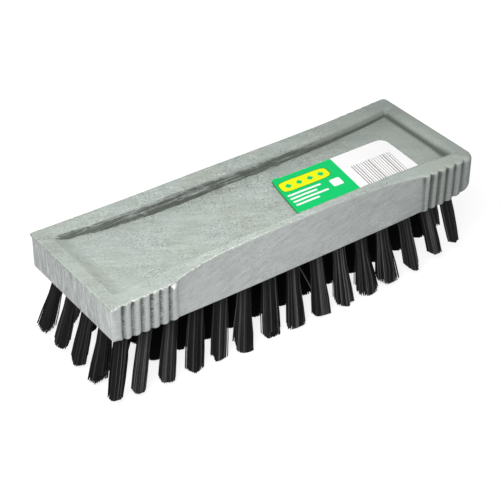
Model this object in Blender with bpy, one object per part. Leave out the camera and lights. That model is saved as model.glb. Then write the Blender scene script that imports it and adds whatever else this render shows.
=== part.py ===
"""Shoe brush: a moulded grey block with a dished recess on top, ribbed finger grips at both ends of
its long sides, and fifteen rows of five black tufts that fan out of holes in its underside.

The brush stands on the cut ends of its bristles. X runs along the block, Z is up, and the front,
which has the deep finger waist, faces -Y.
"""

import math
import random

import bmesh
import bpy
from mathutils import Matrix, Vector

MM = 0.001
CLEARANCE = 0.3 * MM  # between any two pieces that seat in or on each other
OVERSHOOT = 1.0 * MM  # how far a cutter runs past the face that it cuts
ROOT_BITE = 0.6 * MM  # how far a strand's root runs into its backing

# Block
BLOCK_LENGTH = 181 * MM
BLOCK_WIDTH = 60 * MM  # over the crests of the ribs
BLOCK_HEIGHT = 18 * MM
BRISTLE_TRIM = 32 * MM  # from the floor to the underside of the block
FRONT_RIGHT_RADIUS = 4.0 * MM
BACK_RIGHT_RADIUS = 2.5 * MM
LEFT_RADIUS = 1.0 * MM
TOP_EDGE_ROUND = 0.9 * MM
BOTTOM_EDGE_ROUND = 0.6 * MM
END_BOTTOM_ROUND = 2.4 * MM  # the bottom edges of both end faces are rounder
END_ROUND_REACH = 8.0 * MM  # how far from each end the outline is drawn in for that

# Finger grips: upright ribs at both ends of each long side, and a waist between them
RIB_GROOVES = 6
RIB_PITCH = 4.25 * MM
LEFT_LAND = 5.4 * MM  # from the end of the block to the first groove
RIGHT_LAND = 6.2 * MM
GROOVE_DEPTH = 1.4 * MM
GROOVE_HALF_WIDTH = 1.6 * MM
PLAIN_STEP = 0.75 * MM  # how far the plain side between the ribs lies behind their crests
PLAIN_BOW = 0.6 * MM  # how far that side's bottom edge bows out again at mid-length
FRONT_WAIST = 6.0 * MM  # how far the front's top edge draws in at mid-length
LEFT_WAIST_REACH = 62 * MM  # from mid-length to the ends of that waist
RIGHT_WAIST_REACH = 66 * MM
BACK_LEFT_WAIST = 1.0 * MM  # how far the back's top edge draws in, towards the left and towards the right
BACK_RIGHT_WAIST = 1.8 * MM
BACK_WAIST_REACH = 87 * MM
BACK_RIB_FADE = 2.0 * MM  # the ribs at the back run out this far below the top
WAIST_POWER = 3.5  # 2 is a plain arc, and more keeps the middle straighter
WAIST_STEPS = 18
STATION_GAP = 0.2 * MM  # a point of a groove this close to a rounded corner is left out
CORNER_STEPS = 4

# Recess in the top
RIM_END_WIDTH = 5.5 * MM
RIM_SIDE_WIDTH = 7.5 * MM  # at the ends of the long sides
RIM_SIDE_BOW = 2.5 * MM  # the inner edge draws in this much at mid-length
RECESS_DEPTH = 4.9 * MM  # where the dished floor is deepest
RECESS_DEEPEST_X = -25 * MM
RECESS_LEFT_DEPTH = 2.1 * MM  # at the feet of its two end walls
RECESS_RIGHT_DEPTH = 2.4 * MM
RECESS_LEFT_POWER = 2  # the floor rises to the left as an arc, and nearly evenly to the right
RECESS_RIGHT_POWER = 1.3
RECESS_LEFT_SLOPE = 6.5 * MM  # how far the left-hand end runs inwards, as a gentle ramp
RECESS_RIGHT_SLOPE = 2.0 * MM
RECESS_SIDE_SLOPE = 1.6 * MM
RECESS_CORNER_RADIUS = 2.0 * MM
RECESS_EDGE_ROUND = 0.7 * MM
RECESS_STEPS = 16

# Tufts: a grid of drilled holes that fan outwards, each holding one tuft
TUFT_COLUMNS = 15
TUFT_ROWS = 5
END_MARGIN = 8.8 * MM  # from the end of the block to the middle of the tufts beside it
SIDE_MARGIN = 7.5 * MM
COLUMN_FAN = math.radians(13)  # how far the outermost column leans outwards
ROW_FAN = math.radians(7)
HOLE_DIAMETER = 5.0 * MM
HOLE_DEPTH = 4.5 * MM
HOLE_SIDES = 8
BACKING_THICKNESS = 6.0 * MM  # the slice of block that a column's tufts are set in
BACKING_MARGIN = 3.8 * MM  # from the centre of an outer tuft to the edge of the backing
STRANDS_PER_TUFT = 6
TUFT_ROOT_DIAMETER = 4.1 * MM
TUFT_TIP_DIAMETER = 6.6 * MM
TUFT_CORE_DIAMETER = 0.9 * MM  # the gap at the middle of a tuft that the strands stand round
STRAND_SHARE = 0.8  # of its sector of the tuft, so that neighbouring strands never touch
END_TRIM = 5.5 * MM  # the tufts of the outermost columns are cut off this far above the floor
LEVEL_TRIM_X = 43 * MM  # the cut rises evenly from here to the outermost columns
UNEVEN_LEAST = 0.3 * MM  # the short strands end this far or more above the cut
UNEVEN_MOST = 1.6 * MM
SHORT_SHARE = 0.45  # of the strands fall short

# Anchors: the flat wire at the bottom of each hole that a tuft is folded round
ANCHOR_THICKNESS = 0.3 * MM
ANCHOR_WIDTH = 2.0 * MM  # along the hole
ANCHOR_LIFT = 0.5 * MM  # above the bottom of the hole, where the fold passes under it
ANCHOR_BITE = 0.4 * MM  # how far each of its ends is driven into the wall of the hole

# Label stuck to the floor of the recess
LABEL_LENGTH = 60.4 * MM
LABEL_WIDTH = 25.5 * MM
LABEL_THICKNESS = 0.25 * MM
LABEL_LEFT_RADIUS = 0.8 * MM
LABEL_RIGHT_RADIUS = 4.0 * MM
LABEL_END_GAP = 13.7 * MM  # from the foot of the recess's right-hand wall
LABEL_FRONT_GAP = 0.6 * MM  # from the foot of its front wall, at the label's front right corner
LABEL_TURN = math.radians(-3.1)
LABEL_STEPS = 10

# Where things lie
UNDERSIDE_Z = BRISTLE_TRIM
TOP_Z = BRISTLE_TRIM + BLOCK_HEIGHT
LEFT_GROOVES = [LEFT_LAND - BLOCK_LENGTH / 2 + i * RIB_PITCH for i in range(RIB_GROOVES + 1)]
RIGHT_GROOVES = [BLOCK_LENGTH / 2 - RIGHT_LAND - i * RIB_PITCH for i in range(RIB_GROOVES + 1)]
OUTER_COLUMN_X = BLOCK_LENGTH / 2 - END_MARGIN
OUTER_ROW_Y = BLOCK_WIDTH / 2 - SIDE_MARGIN
COLUMN_PITCH = 2 * OUTER_COLUMN_X / (TUFT_COLUMNS - 1)
ROW_PITCH = 2 * OUTER_ROW_Y / (TUFT_ROWS - 1)


def clear_scene():
    for obj in list(bpy.data.objects):
        bpy.data.objects.remove(obj, do_unlink=True)


def material(name, colour, roughness):
    made = bpy.data.materials.new(name)
    made.use_nodes = True
    shader = made.node_tree.nodes["Principled BSDF"]
    shader.inputs["Base Color"].default_value = (*colour, 1)
    shader.inputs["Roughness"].default_value = roughness
    shader.inputs["Metallic"].default_value = 0
    return made


def object_from(name, bm):
    mesh = bpy.data.meshes.new(name)
    bmesh.ops.recalc_face_normals(bm, faces=bm.faces)
    bm.to_mesh(mesh)
    bm.free()
    obj = bpy.data.objects.new(name, mesh)
    bpy.context.scene.collection.objects.link(obj)
    return obj


def helper_from(name, bm):
    obj = object_from(name, bm)
    obj.hide_render = True
    obj.display_type = "WIRE"
    return obj


def boolean(obj, other, operation):
    modifier = obj.modifiers.new(other.name, "BOOLEAN")
    modifier.object = other
    modifier.operation = operation
    modifier.solver = "EXACT"


def shade_smooth_by_angle(obj, degrees):
    obj.data.shade_smooth()
    obj.data.set_sharp_from_angle(angle=math.radians(degrees))


def bridge_rings(bm, rings):
    """Joins rings of points, each given from low to high with the same number of points, with quads."""
    layers = [[bm.verts.new(point) for point in ring] for ring in rings]
    ring_size = len(layers[0])
    for lower, upper in zip(layers, layers[1:]):
        for i in range(ring_size):
            j = (i + 1) % ring_size
            bm.faces.new((lower[i], lower[j], upper[j], upper[i]))
    return layers


def groove_inset(x, rise):
    """How far a long side lies behind the crests of its ribs at x and at a share of the block's height."""
    left, right = LEFT_GROOVES[-1], RIGHT_GROOVES[-1]
    if left < x < right:
        share = abs(2 * x - left - right) / (right - left)
        return PLAIN_STEP - PLAIN_BOW * (1 - share**WAIST_POWER) * (1 - rise)
    grooves = LEFT_GROOVES if x < 0 else RIGHT_GROOVES
    nearest = min(grooves, key=lambda groove: abs(x - groove))
    depth = PLAIN_STEP if nearest == grooves[-1] else GROOVE_DEPTH
    return depth * (1 - min(abs(x - nearest) / GROOVE_HALF_WIDTH, 1)) ** 2


def waist_shape(x, reach, power):
    """1 at mid-length, falling to 0 at the waist's reach."""
    return 1 - min(abs(x) / reach, 1) ** power


def front_y(x, rise, inset):
    reach = LEFT_WAIST_REACH if x < 0 else RIGHT_WAIST_REACH
    waist = FRONT_WAIST * waist_shape(x, reach, WAIST_POWER)
    return inset + groove_inset(x, rise) + rise * waist - BLOCK_WIDTH / 2


def back_y(x, rise, inset):
    """The back's ribs run out below its top edge, which draws in a little more towards the right."""
    right_share = x / BLOCK_LENGTH + 0.5
    waist = BACK_LEFT_WAIST + (BACK_RIGHT_WAIST - BACK_LEFT_WAIST) * right_share
    waist *= waist_shape(x, BACK_WAIST_REACH, WAIST_POWER)
    kept = min((1 - rise) * BLOCK_HEIGHT / BACK_RIB_FADE, 1)
    return BLOCK_WIDTH / 2 - inset - groove_inset(x, rise) * kept - rise * waist


def side_stations(end_left, end_right):
    """X positions along a long side: five to each groove, the waist's steps, and the ends of the corner arcs."""
    shares = (-1, -0.5, 0, 0.5, 1)
    ribs = [groove + GROOVE_HALF_WIDTH * share for groove in LEFT_GROOVES + RIGHT_GROOVES for share in shares]
    left, right = LEFT_GROOVES[-1], RIGHT_GROOVES[-1]
    ribs = [x for x in ribs if not left < x < right]
    waist = [left + (right - left) * i / WAIST_STEPS for i in range(1, WAIST_STEPS)]
    kept = [x for x in ribs + waist if end_left + STATION_GAP < x < end_right - STATION_GAP]
    return [end_left] + sorted(kept) + [end_right]


def corner_arc(sign_x, sign_y, radius, inset):
    """A corner's quarter turn, anticlockwise, from or to the end face but without its point on the long side."""
    turns = {(1, -1): -1, (1, 1): 0, (-1, 1): 1, (-1, -1): 2}
    centre_x = sign_x * (BLOCK_LENGTH / 2 - radius)
    centre_y = sign_y * (BLOCK_WIDTH / 2 - radius)
    long_side_first = sign_x * sign_y < 0
    points = []
    for i in range(CORNER_STEPS):
        step = i + 1 if long_side_first else i
        angle = math.pi / 2 * (turns[sign_x, sign_y] + step / CORNER_STEPS)
        reach = radius - inset
        points.append((centre_x + reach * math.cos(angle), centre_y + reach * math.sin(angle)))
    return points


def draw_in_ends(point, amount):
    """Moves the points near both ends of the outline inwards, by the whole amount at the end faces."""
    x, y = point
    share = max(abs(x) - BLOCK_LENGTH / 2 + END_ROUND_REACH, 0) / END_ROUND_REACH
    return x - math.copysign(amount * share, x), y


def block_outline(rise, inset, end_inset):
    """The block's outline, anticlockwise from its front left, at a share of its height and drawn in all round."""
    left = LEFT_RADIUS - BLOCK_LENGTH / 2
    front = side_stations(left, BLOCK_LENGTH / 2 - FRONT_RIGHT_RADIUS)
    back = side_stations(left, BLOCK_LENGTH / 2 - BACK_RIGHT_RADIUS)
    points = [(x, front_y(x, rise, inset)) for x in front]
    points += corner_arc(1, -1, FRONT_RIGHT_RADIUS, inset)
    points += corner_arc(1, 1, BACK_RIGHT_RADIUS, inset)
    points += [(x, back_y(x, rise, inset)) for x in reversed(back)]
    points += corner_arc(-1, 1, LEFT_RADIUS, inset)
    points += corner_arc(-1, -1, LEFT_RADIUS, inset)
    return [draw_in_ends(point, end_inset - inset) for point in points]


def rounded_inset(height, radius):
    """How far an edge of that radius stands in at a height above its bottom, or at a depth below its top."""
    below = max(radius - height, 0)
    return radius - math.sqrt(radius**2 - below**2)


def block_levels():
    """Height above the underside, inset and end inset of each outline that the block is lofted through."""
    heights = [0.0, BOTTOM_EDGE_ROUND * 0.3, BOTTOM_EDGE_ROUND, END_BOTTOM_ROUND * 0.5, END_BOTTOM_ROUND]
    levels = [(height, rounded_inset(height, BOTTOM_EDGE_ROUND), rounded_inset(height, END_BOTTOM_ROUND))
              for height in heights]
    levels.append((BLOCK_HEIGHT - BACK_RIB_FADE, 0.0, 0.0))
    for degrees in (0, 30, 60, 90):
        angle = math.radians(degrees)
        height = BLOCK_HEIGHT - TOP_EDGE_ROUND * (1 - math.sin(angle))
        inset = TOP_EDGE_ROUND * (1 - math.cos(angle))
        levels.append((height, inset, inset))
    return levels


def make_block_body():
    rings = []
    for height, inset, end_inset in block_levels():
        outline = block_outline(height / BLOCK_HEIGHT, inset, end_inset)
        rings.append([(x, y, UNDERSIDE_Z + height) for x, y in outline])
    bm = bmesh.new()
    layers = bridge_rings(bm, rings)
    bm.faces.new(reversed(layers[0]))
    bm.faces.new(layers[-1])
    return object_from("block", bm)


def recess_half_length(slope):
    return BLOCK_LENGTH / 2 - RIM_END_WIDTH - slope


def recess_half_width(x, slope):
    share = min(abs(x) / recess_half_length(0), 1)
    bow = RIM_SIDE_BOW * (1 - share**WAIST_POWER)
    return BLOCK_WIDTH / 2 - RIM_SIDE_WIDTH - bow - slope


def floor_z(x):
    """The recess's floor, dished along its length and rising more steeply towards the left."""
    if x < RECESS_DEEPEST_X:
        reach = recess_half_length(RECESS_LEFT_SLOPE) + RECESS_DEEPEST_X
        rise = (RECESS_DEPTH - RECESS_LEFT_DEPTH) * ((RECESS_DEEPEST_X - x) / reach) ** RECESS_LEFT_POWER
    else:
        reach = recess_half_length(RECESS_RIGHT_SLOPE) - RECESS_DEEPEST_X
        rise = (RECESS_DEPTH - RECESS_RIGHT_DEPTH) * ((x - RECESS_DEEPEST_X) / reach) ** RECESS_RIGHT_POWER
    return TOP_Z - RECESS_DEPTH + rise


def recess_columns(left_slope, right_slope, side_slope, radius):
    """(x, half width) pairs along the recess, closing in round the corners at its ends."""
    left = radius - recess_half_length(left_slope)
    right = recess_half_length(right_slope) - radius
    turns = [math.pi / 2 * i / CORNER_STEPS for i in range(CORNER_STEPS + 1)]
    columns = [(left - radius * math.cos(turn), radius * (1 - math.sin(turn))) for turn in turns]
    columns += [(left + (right - left) * i / RECESS_STEPS, 0) for i in range(1, RECESS_STEPS)]
    columns += [(right + radius * math.sin(turn), radius * (1 - math.cos(turn))) for turn in turns]
    return [(x, recess_half_width(x, side_slope) - closing) for x, closing in columns]


def make_recess_cutter():
    """The hollow of the recess: rounded top edge, sloping walls and a dished floor."""
    levels = [(OVERSHOOT, -RECESS_EDGE_ROUND - OVERSHOOT)]
    for degrees in (0, 45, 90):
        angle = math.radians(degrees)
        height = RECESS_EDGE_ROUND * (math.cos(angle) - 1)
        levels.append((height, RECESS_EDGE_ROUND * (math.sin(angle) - 1)))
    rings = []
    for height, slope in levels:
        columns = recess_columns(slope, slope, slope, RECESS_CORNER_RADIUS - slope)
        rings.append(ring_of(columns, lambda x, h=height: TOP_Z + h))
    foot = recess_columns(RECESS_LEFT_SLOPE, RECESS_RIGHT_SLOPE, RECESS_SIDE_SLOPE, RECESS_CORNER_RADIUS)
    rings.append(ring_of(foot, floor_z))
    bm = bmesh.new()
    layers = bridge_rings(bm, list(reversed(rings)))
    for layer in (layers[0], layers[-1]):
        for i in range(len(foot) - 1):
            bm.faces.new((layer[i], layer[i + 1], layer[-i - 2], layer[-i - 1]))
    return helper_from("recess_cutter", bm)


def ring_of(columns, height_at):
    """Points along the front of the columns from left to right, then along their back to the left."""
    front = [(x, -half, height_at(x)) for x, half in columns]
    back = [(x, half, height_at(x)) for x, half in reversed(columns)]
    return front + back


def box(bm, low, high):
    size = Vector(high) - Vector(low)
    centre = (Vector(high) + Vector(low)) / 2
    bmesh.ops.create_cube(bm, size=1, matrix=Matrix.Translation(centre) @ Matrix.Diagonal((*size, 1)))


def column_x(column):
    return (column - (TUFT_COLUMNS - 1) / 2) * COLUMN_PITCH


def row_y(row):
    return (row - (TUFT_ROWS - 1) / 2) * ROW_PITCH


def backing_span(column):
    """Where a column's slice of backing starts and ends along X."""
    left = column_x(column) - COLUMN_PITCH / 2 + CLEARANCE / 2
    right = column_x(column) + COLUMN_PITCH / 2 - CLEARANCE / 2
    if column == 0:
        left = -OUTER_COLUMN_X - BACKING_MARGIN
    if column == TUFT_COLUMNS - 1:
        right = OUTER_COLUMN_X + BACKING_MARGIN
    return left, right


def make_backing_cutter():
    """The pocket in the underside that the fifteen slices of backing fill."""
    half_length = OUTER_COLUMN_X + BACKING_MARGIN + CLEARANCE
    half_width = OUTER_ROW_Y + BACKING_MARGIN + CLEARANCE
    roof = UNDERSIDE_Z + BACKING_THICKNESS + CLEARANCE
    bm = bmesh.new()
    box(bm, (-half_length, -half_width, UNDERSIDE_Z - OVERSHOOT), (half_length, half_width, roof))
    return helper_from("backing_cutter", bm)


def make_block():
    block = make_block_body()
    boolean(block, make_recess_cutter(), "DIFFERENCE")
    boolean(block, make_backing_cutter(), "DIFFERENCE")
    block.data.materials.append(material("moulded_grey", (0.50, 0.54, 0.50), 0.6))
    shade_smooth_by_angle(block, 30)


def tuft_axis(column, row):
    """The mouth of a tuft's hole and the way it points: outer tufts fan out towards the ends and sides."""
    mouth = Vector((column_x(column), row_y(row), UNDERSIDE_Z))
    lean_x = math.tan(COLUMN_FAN) * column_x(column) / OUTER_COLUMN_X
    lean_y = math.tan(ROW_FAN) * row_y(row) / OUTER_ROW_Y
    return mouth, Vector((lean_x, lean_y, -1)).normalized()


def across_hole(along, angle):
    """Two directions square to a hole and to each other, the first at that angle round it."""
    across = Vector((math.cos(angle), math.sin(angle), 0))
    across = (across - along * across.dot(along)).normalized()
    return across, along.cross(across)


def in_hole(along, angle, centre):
    """The matrix that puts a shape at centre with its Z along the hole and its X at that angle round it."""
    axes = Matrix((*across_hole(along, angle), along)).transposed().to_4x4()
    return Matrix.Translation(centre) @ axes


def add_hole(bm, mouth, along, anchor_angle):
    """A blind hole, turned so that its anchor meets the middle of two of its sides."""
    length = HOLE_DEPTH + 2 * OVERSHOOT
    centre = mouth - along * (HOLE_DEPTH - length / 2)
    turned = in_hole(along, anchor_angle + math.pi / HOLE_SIDES, centre)
    bmesh.ops.create_cone(bm, cap_ends=True, segments=HOLE_SIDES, radius1=HOLE_DIAMETER / 2,
                          radius2=HOLE_DIAMETER / 2, depth=length, matrix=turned)


def add_anchor(bm, mouth, along, angle):
    """The flat wire across the bottom of a hole, between two strands, with its ends in the hole's wall."""
    sizes = (HOLE_DIAMETER + 2 * ANCHOR_BITE, ANCHOR_THICKNESS, ANCHOR_WIDTH)
    centre = mouth - along * (HOLE_DEPTH - ANCHOR_LIFT - ANCHOR_WIDTH / 2)
    matrix = in_hole(along, angle, centre) @ Matrix.Diagonal((*sizes, 1))
    bmesh.ops.create_cube(bm, size=1, matrix=matrix)


def add_strand(bm, mouth, along, sector, tip_z):
    """One strand, a three-sided wedge of its tuft, from inside the backing to a flat cut at tip_z."""
    across, beside = across_hole(along, sector)
    spread = math.pi / STRANDS_PER_TUFT * STRAND_SHARE
    root = mouth - along * (HOLE_DEPTH + ROOT_BITE)
    length = (root.z - tip_z) / -along.z
    tip = root + along * length

    def corners(centre, diameter, core):
        edge = across * math.cos(spread) * diameter / 2
        reach = beside * math.sin(spread) * diameter / 2
        return [centre + across * core / 2, centre + edge - reach, centre + edge + reach]

    start = corners(root, TUFT_ROOT_DIAMETER, TUFT_CORE_DIAMETER)
    end = corners(tip, TUFT_TIP_DIAMETER, TUFT_CORE_DIAMETER * 2)
    # Each long edge is carried on to the level of the cut.
    end = [a + (b - a) * ((a.z - tip_z) / (a.z - b.z)) for a, b in zip(start, end)]
    layers = bridge_rings(bm, [start, end])
    bm.faces.new(reversed(layers[0]))
    bm.faces.new(layers[1])


def trim_z(column):
    """How far above the floor a column's tufts are cut off."""
    share = (abs(column_x(column)) - LEVEL_TRIM_X) / (OUTER_COLUMN_X - LEVEL_TRIM_X)
    return END_TRIM * max(share, 0)


def make_tuft_column(column, look):
    """A column's five tufts and anchors, with the slice of the block's underside that they are set in."""
    rng = random.Random(column)
    sector = math.tau / STRANDS_PER_TUFT
    left, right = backing_span(column)
    half_width = OUTER_ROW_Y + BACKING_MARGIN
    bm = bmesh.new()
    box(bm, (left, -half_width, UNDERSIDE_Z), (right, half_width, UNDERSIDE_Z + BACKING_THICKNESS))
    obj = object_from(f"tuft_column_{column + 1:02d}", bm)
    holes = bmesh.new()
    strands = bmesh.new()
    for row in range(TUFT_ROWS):
        mouth, along = tuft_axis(column, row)
        first = rng.uniform(0, sector)
        add_hole(holes, mouth, along, first + sector / 2)
        add_anchor(strands, mouth, along, first + sector / 2)
        for i in range(STRANDS_PER_TUFT):
            short = rng.random() < SHORT_SHARE
            uneven = rng.uniform(UNEVEN_LEAST, UNEVEN_MOST) if short else 0.0
            add_strand(strands, mouth, along, first + sector * i, trim_z(column) + uneven)
    boolean(obj, helper_from(f"holes_{column + 1:02d}", holes), "DIFFERENCE")
    boolean(obj, helper_from(f"strands_{column + 1:02d}", strands), "UNION")
    obj.data.materials.append(look)


def label_corner(radius):
    """(u, edge) round a corner: how far a long edge of the label stands in at each place along it."""
    turns = [math.pi / 2 * i / CORNER_STEPS for i in range(CORNER_STEPS + 1)]
    return [(radius * (1 - math.cos(turn)), radius * (1 - math.sin(turn))) for turn in turns]


def label_columns():
    """(u, edge) across the label, from its square left-hand end to its round right-hand end."""
    left = label_corner(LABEL_LEFT_RADIUS)
    right = [(LABEL_LENGTH - u, edge) for u, edge in reversed(label_corner(LABEL_RIGHT_RADIUS))]
    straight = LABEL_LENGTH - LABEL_LEFT_RADIUS - LABEL_RIGHT_RADIUS
    middle = [(LABEL_LEFT_RADIUS + straight * i / LABEL_STEPS, 0.0) for i in range(1, LABEL_STEPS)]
    return left + middle + right


def make_label():
    """The paper label, which follows the dished floor."""
    along = Vector((math.cos(LABEL_TURN), math.sin(LABEL_TURN), 0))
    down = Vector((math.sin(LABEL_TURN), -math.cos(LABEL_TURN), 0))
    front_right_x = recess_half_length(RECESS_RIGHT_SLOPE) - LABEL_END_GAP
    front_right_y = LABEL_FRONT_GAP - recess_half_width(front_right_x, RECESS_SIDE_SLOPE)
    front_right = Vector((front_right_x, front_right_y, 0))
    corner = front_right - along * LABEL_LENGTH - down * LABEL_WIDTH

    def place(u, v, lift):
        point = corner + along * u + down * v
        return Vector((point.x, point.y, floor_z(point.x) + CLEARANCE + lift))

    bm = bmesh.new()
    sections = []
    for u, edge in label_columns():
        far = LABEL_WIDTH - edge
        sections.append([bm.verts.new(place(u, v, lift)) for v, lift in (
            (edge, 0), (far, 0), (far, LABEL_THICKNESS), (edge, LABEL_THICKNESS))])
    for a, b in zip(sections, sections[1:]):
        for i in range(4):
            j = (i + 1) % 4
            bm.faces.new((a[i], a[j], b[j], b[i]))
    bm.faces.new(reversed(sections[0]))
    bm.faces.new(sections[-1])
    label = object_from("label", bm)
    label.data.materials.append(material("label_paper", (0.02, 0.55, 0.20), 0.35))


def main():
    clear_scene()
    make_block()
    bristle = material("black_bristle", (0.012, 0.012, 0.014), 0.45)
    for column in range(TUFT_COLUMNS):
        make_tuft_column(column, bristle)
    make_label()


main()
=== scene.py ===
"""Shoe brush: the looks of its moulded block, bristle tufts, anchor wires and paper label.

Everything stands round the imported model, in metres, with X along the block and Z up out of its recess.
"""

import math

import bmesh
import bpy
import numpy as np
from bpy.props import FloatProperty, FloatVectorProperty, IntProperty, PointerProperty
from mathutils import Matrix, Vector


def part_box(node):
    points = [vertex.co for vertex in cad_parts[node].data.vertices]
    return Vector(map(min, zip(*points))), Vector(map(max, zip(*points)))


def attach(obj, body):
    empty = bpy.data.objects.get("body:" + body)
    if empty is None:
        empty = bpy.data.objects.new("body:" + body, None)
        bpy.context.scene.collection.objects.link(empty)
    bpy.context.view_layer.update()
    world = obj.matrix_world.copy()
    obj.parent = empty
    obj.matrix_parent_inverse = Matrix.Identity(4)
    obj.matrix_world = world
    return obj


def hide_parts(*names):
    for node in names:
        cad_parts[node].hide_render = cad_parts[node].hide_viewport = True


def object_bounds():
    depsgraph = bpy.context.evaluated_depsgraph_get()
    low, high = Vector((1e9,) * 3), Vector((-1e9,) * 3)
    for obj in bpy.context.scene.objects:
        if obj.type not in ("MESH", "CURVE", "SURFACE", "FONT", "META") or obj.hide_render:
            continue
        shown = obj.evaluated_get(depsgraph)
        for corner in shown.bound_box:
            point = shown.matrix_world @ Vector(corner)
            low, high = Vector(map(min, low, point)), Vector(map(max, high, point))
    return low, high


bl_info = {
    "name": "Shoe Brush",
    "version": (1, 0, 0),
    "blender": (4, 5, 0),
    "location": "View3D > Sidebar > Shoe Brush",
    "description": "Builds a moulded shoe brush with fanned bristle tufts and a paper label",
    "category": "Add Mesh",
}

MM = 0.001
BODY = "root"

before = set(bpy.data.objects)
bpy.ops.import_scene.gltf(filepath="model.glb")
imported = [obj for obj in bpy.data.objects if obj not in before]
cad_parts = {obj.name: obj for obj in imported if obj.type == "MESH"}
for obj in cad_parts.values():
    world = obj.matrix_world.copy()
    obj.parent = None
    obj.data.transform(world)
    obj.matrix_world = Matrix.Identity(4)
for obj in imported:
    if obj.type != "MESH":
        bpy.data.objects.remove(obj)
CAD_LOW, CAD_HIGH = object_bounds()
BLOCK_LOW, BLOCK_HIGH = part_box("block")
HALF_LENGTH = (BLOCK_HIGH.x - BLOCK_LOW.x) / 2
HALF_WIDTH = (BLOCK_HIGH.y - BLOCK_LOW.y) / 2
UNDERSIDE_Z = BLOCK_LOW.z
TOP_Z = BLOCK_HIGH.z
TUFT_NODES = sorted(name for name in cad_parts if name.startswith("tuft_column"))


def length_prop(name, description, millimetres, least=0.0):
    return FloatProperty(name=name, description=description, default=millimetres * MM, min=least,
                         unit="LENGTH", subtype="DISTANCE", precision=4)


def angle_prop(name, description, degrees):
    return FloatProperty(name=name, description=description, default=math.radians(degrees), subtype="ANGLE")


def share_prop(name, description, default):
    return FloatProperty(name=name, description=description, default=default, min=0.0, max=1.0,
                         subtype="FACTOR")


def colour_prop(name, description, default):
    return FloatVectorProperty(name=name, description=description, default=default, size=3, min=0.0, max=1.0,
                               subtype="COLOR")


class ShoeBrushBlock(bpy.types.PropertyGroup):
    """Sizes and colours of the moulded block."""

    rib_grooves: IntProperty(name="Grooves", description="Grooves at each end of a side", default=6, min=1)
    rib_pitch: length_prop("Rib pitch", "Distance from one groove to the next", 4.25)
    left_land: length_prop("Left land", "From the block's left-hand end to its first groove", 5.4)
    right_land: length_prop("Right land", "From the block's right-hand end to its first groove", 6.2)
    groove_depth: length_prop("Groove depth", "Depth of a groove between two ribs", 1.4)
    groove_half_width: length_prop("Groove half width", "From the middle of a groove to its shoulder", 1.75)
    lip_depth: length_prop("Lip depth", "How far the top's lip reaches down over the grooves", 1.3)
    lip_raggedness: length_prop("Lip raggedness", "How far the lip's torn edge wanders", 0.45)
    plain_step: length_prop("Plain step", "How far the plain side lies behind the crests of the ribs", 0.75)
    plain_bow: length_prop("Plain bow", "How far the plain side's bottom edge bows out again", 0.6)
    front_waist: length_prop("Front waist", "How far the front's top edge draws in at mid-length", 6.0)
    left_reach: length_prop("Waist's left reach", "From mid-length to the front waist's left-hand end", 62)
    right_reach: length_prop("Waist's right reach", "From mid-length to the front waist's right-hand end", 66)
    back_left_waist: length_prop("Back waist, left", "How far the back's top edge draws in at the left", 1.0)
    back_right_waist: length_prop("Back waist, right", "How far that edge draws in at the right", 1.8)
    back_reach: length_prop("Back waist's reach", "From mid-length to the ends of the back waist", 87)
    back_rib_fade: length_prop("Back rib fade", "Where the back's ribs run out below the top", 2.0)
    front_right_radius: length_prop("Front right corner", "Radius of the front right corner", 6.0)
    back_right_radius: length_prop("Back right corner", "Radius of the back right corner", 2.5)
    left_radius: length_prop("Left corners", "Radius of both left-hand corners", 0.6)
    foot_radius: length_prop("Corner foot", "Radius of the front left corner at its foot", 4.0)
    left_edge: length_prop("Left edge", "Rounding of the top edge towards the left", 0.4)
    right_edge: length_prop("Right edge", "Rounding of the top edge towards the right", 1.7)
    bottom_edge: length_prop("Bottom edge", "Rounding of the bottom edge along the sides", 0.6)
    end_bottom_edge: length_prop("Bottom end edge", "Rounding of the bottom edge at the ends' back", 2.6)
    front_bottom_edge: length_prop("Front bottom corners", "Rounding of the bottom edge in front", 4.5)
    left_shrink: length_prop("Left shrink", "How far the left-hand end face is drawn in", 0.55)
    right_swell: length_prop("Right swell", "How far the right-hand end face stands out", 0.6)
    right_flare: length_prop("Right flare", "How much further it stands out towards the front", 1.0)
    right_draft: length_prop("Right draft", "How far the right-hand end's foot stands out", 0.3)
    horn: length_prop("Horn", "Length of the flash at the back left corner", 0.9)
    left_rim: length_prop("Left rim", "Width of the rim at the left-hand end", 5.5)
    right_rim: length_prop("Right rim", "Width of the rim at the right-hand end", 3.0)
    rim_side: length_prop("Rim at the sides", "Width of the rim at the ends of the long sides", 7.5)
    rim_bow: length_prop("Rim bow", "How far the recess narrows on each side at mid-length", 2.5)
    recess_depth: length_prop("Recess depth", "Depth of the recess where it is deepest", 4.9)
    deepest_place: length_prop("Deepest place", "Where along the block it is deepest", -25, least=-1.0)
    recess_left_depth: length_prop("Recess left depth", "Depth of the recess at its left-hand end", 2.1)
    recess_right_depth: length_prop("Recess right depth", "Depth of the recess at its right-hand end", 2.4)
    left_ramp: length_prop("Left ramp", "Run of the recess's gentle left-hand end", 7.5)
    right_wall: length_prop("Right wall", "Run of the recess's rounded right-hand end", 4.5)
    side_wall: length_prop("Side walls", "Run of the recess's long walls", 1.6)
    top_colour: colour_prop("Plastic", "Colour of the plastic", (0.437, 0.488, 0.454))
    tint_colour: colour_prop("Plastic's tint", "Colour that the plastic drifts to", (0.430, 0.476, 0.430))
    skin_colour: colour_prop("Skin", "Colour of the smooth skin on the sides", (0.384, 0.408, 0.402))
    # Also the colour of a faint painted highlight along the recess's edges
    wear_and_highlight_colour: colour_prop("Worn edge", "Colour of ragged and worn edges", (0.70, 0.74, 0.69))
    chip_colour: colour_prop("Chip", "Colour of freshly torn plastic", (0.95, 0.95, 0.94))
    # Pit and shade colour: the grain's open pits, and the painted shade in the creases, grooves and recess
    pit_and_shade_colour: colour_prop("Crease", "Colour in the creases, where the plastic is dense and dirty",
                               (0.085, 0.095, 0.08))


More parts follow.
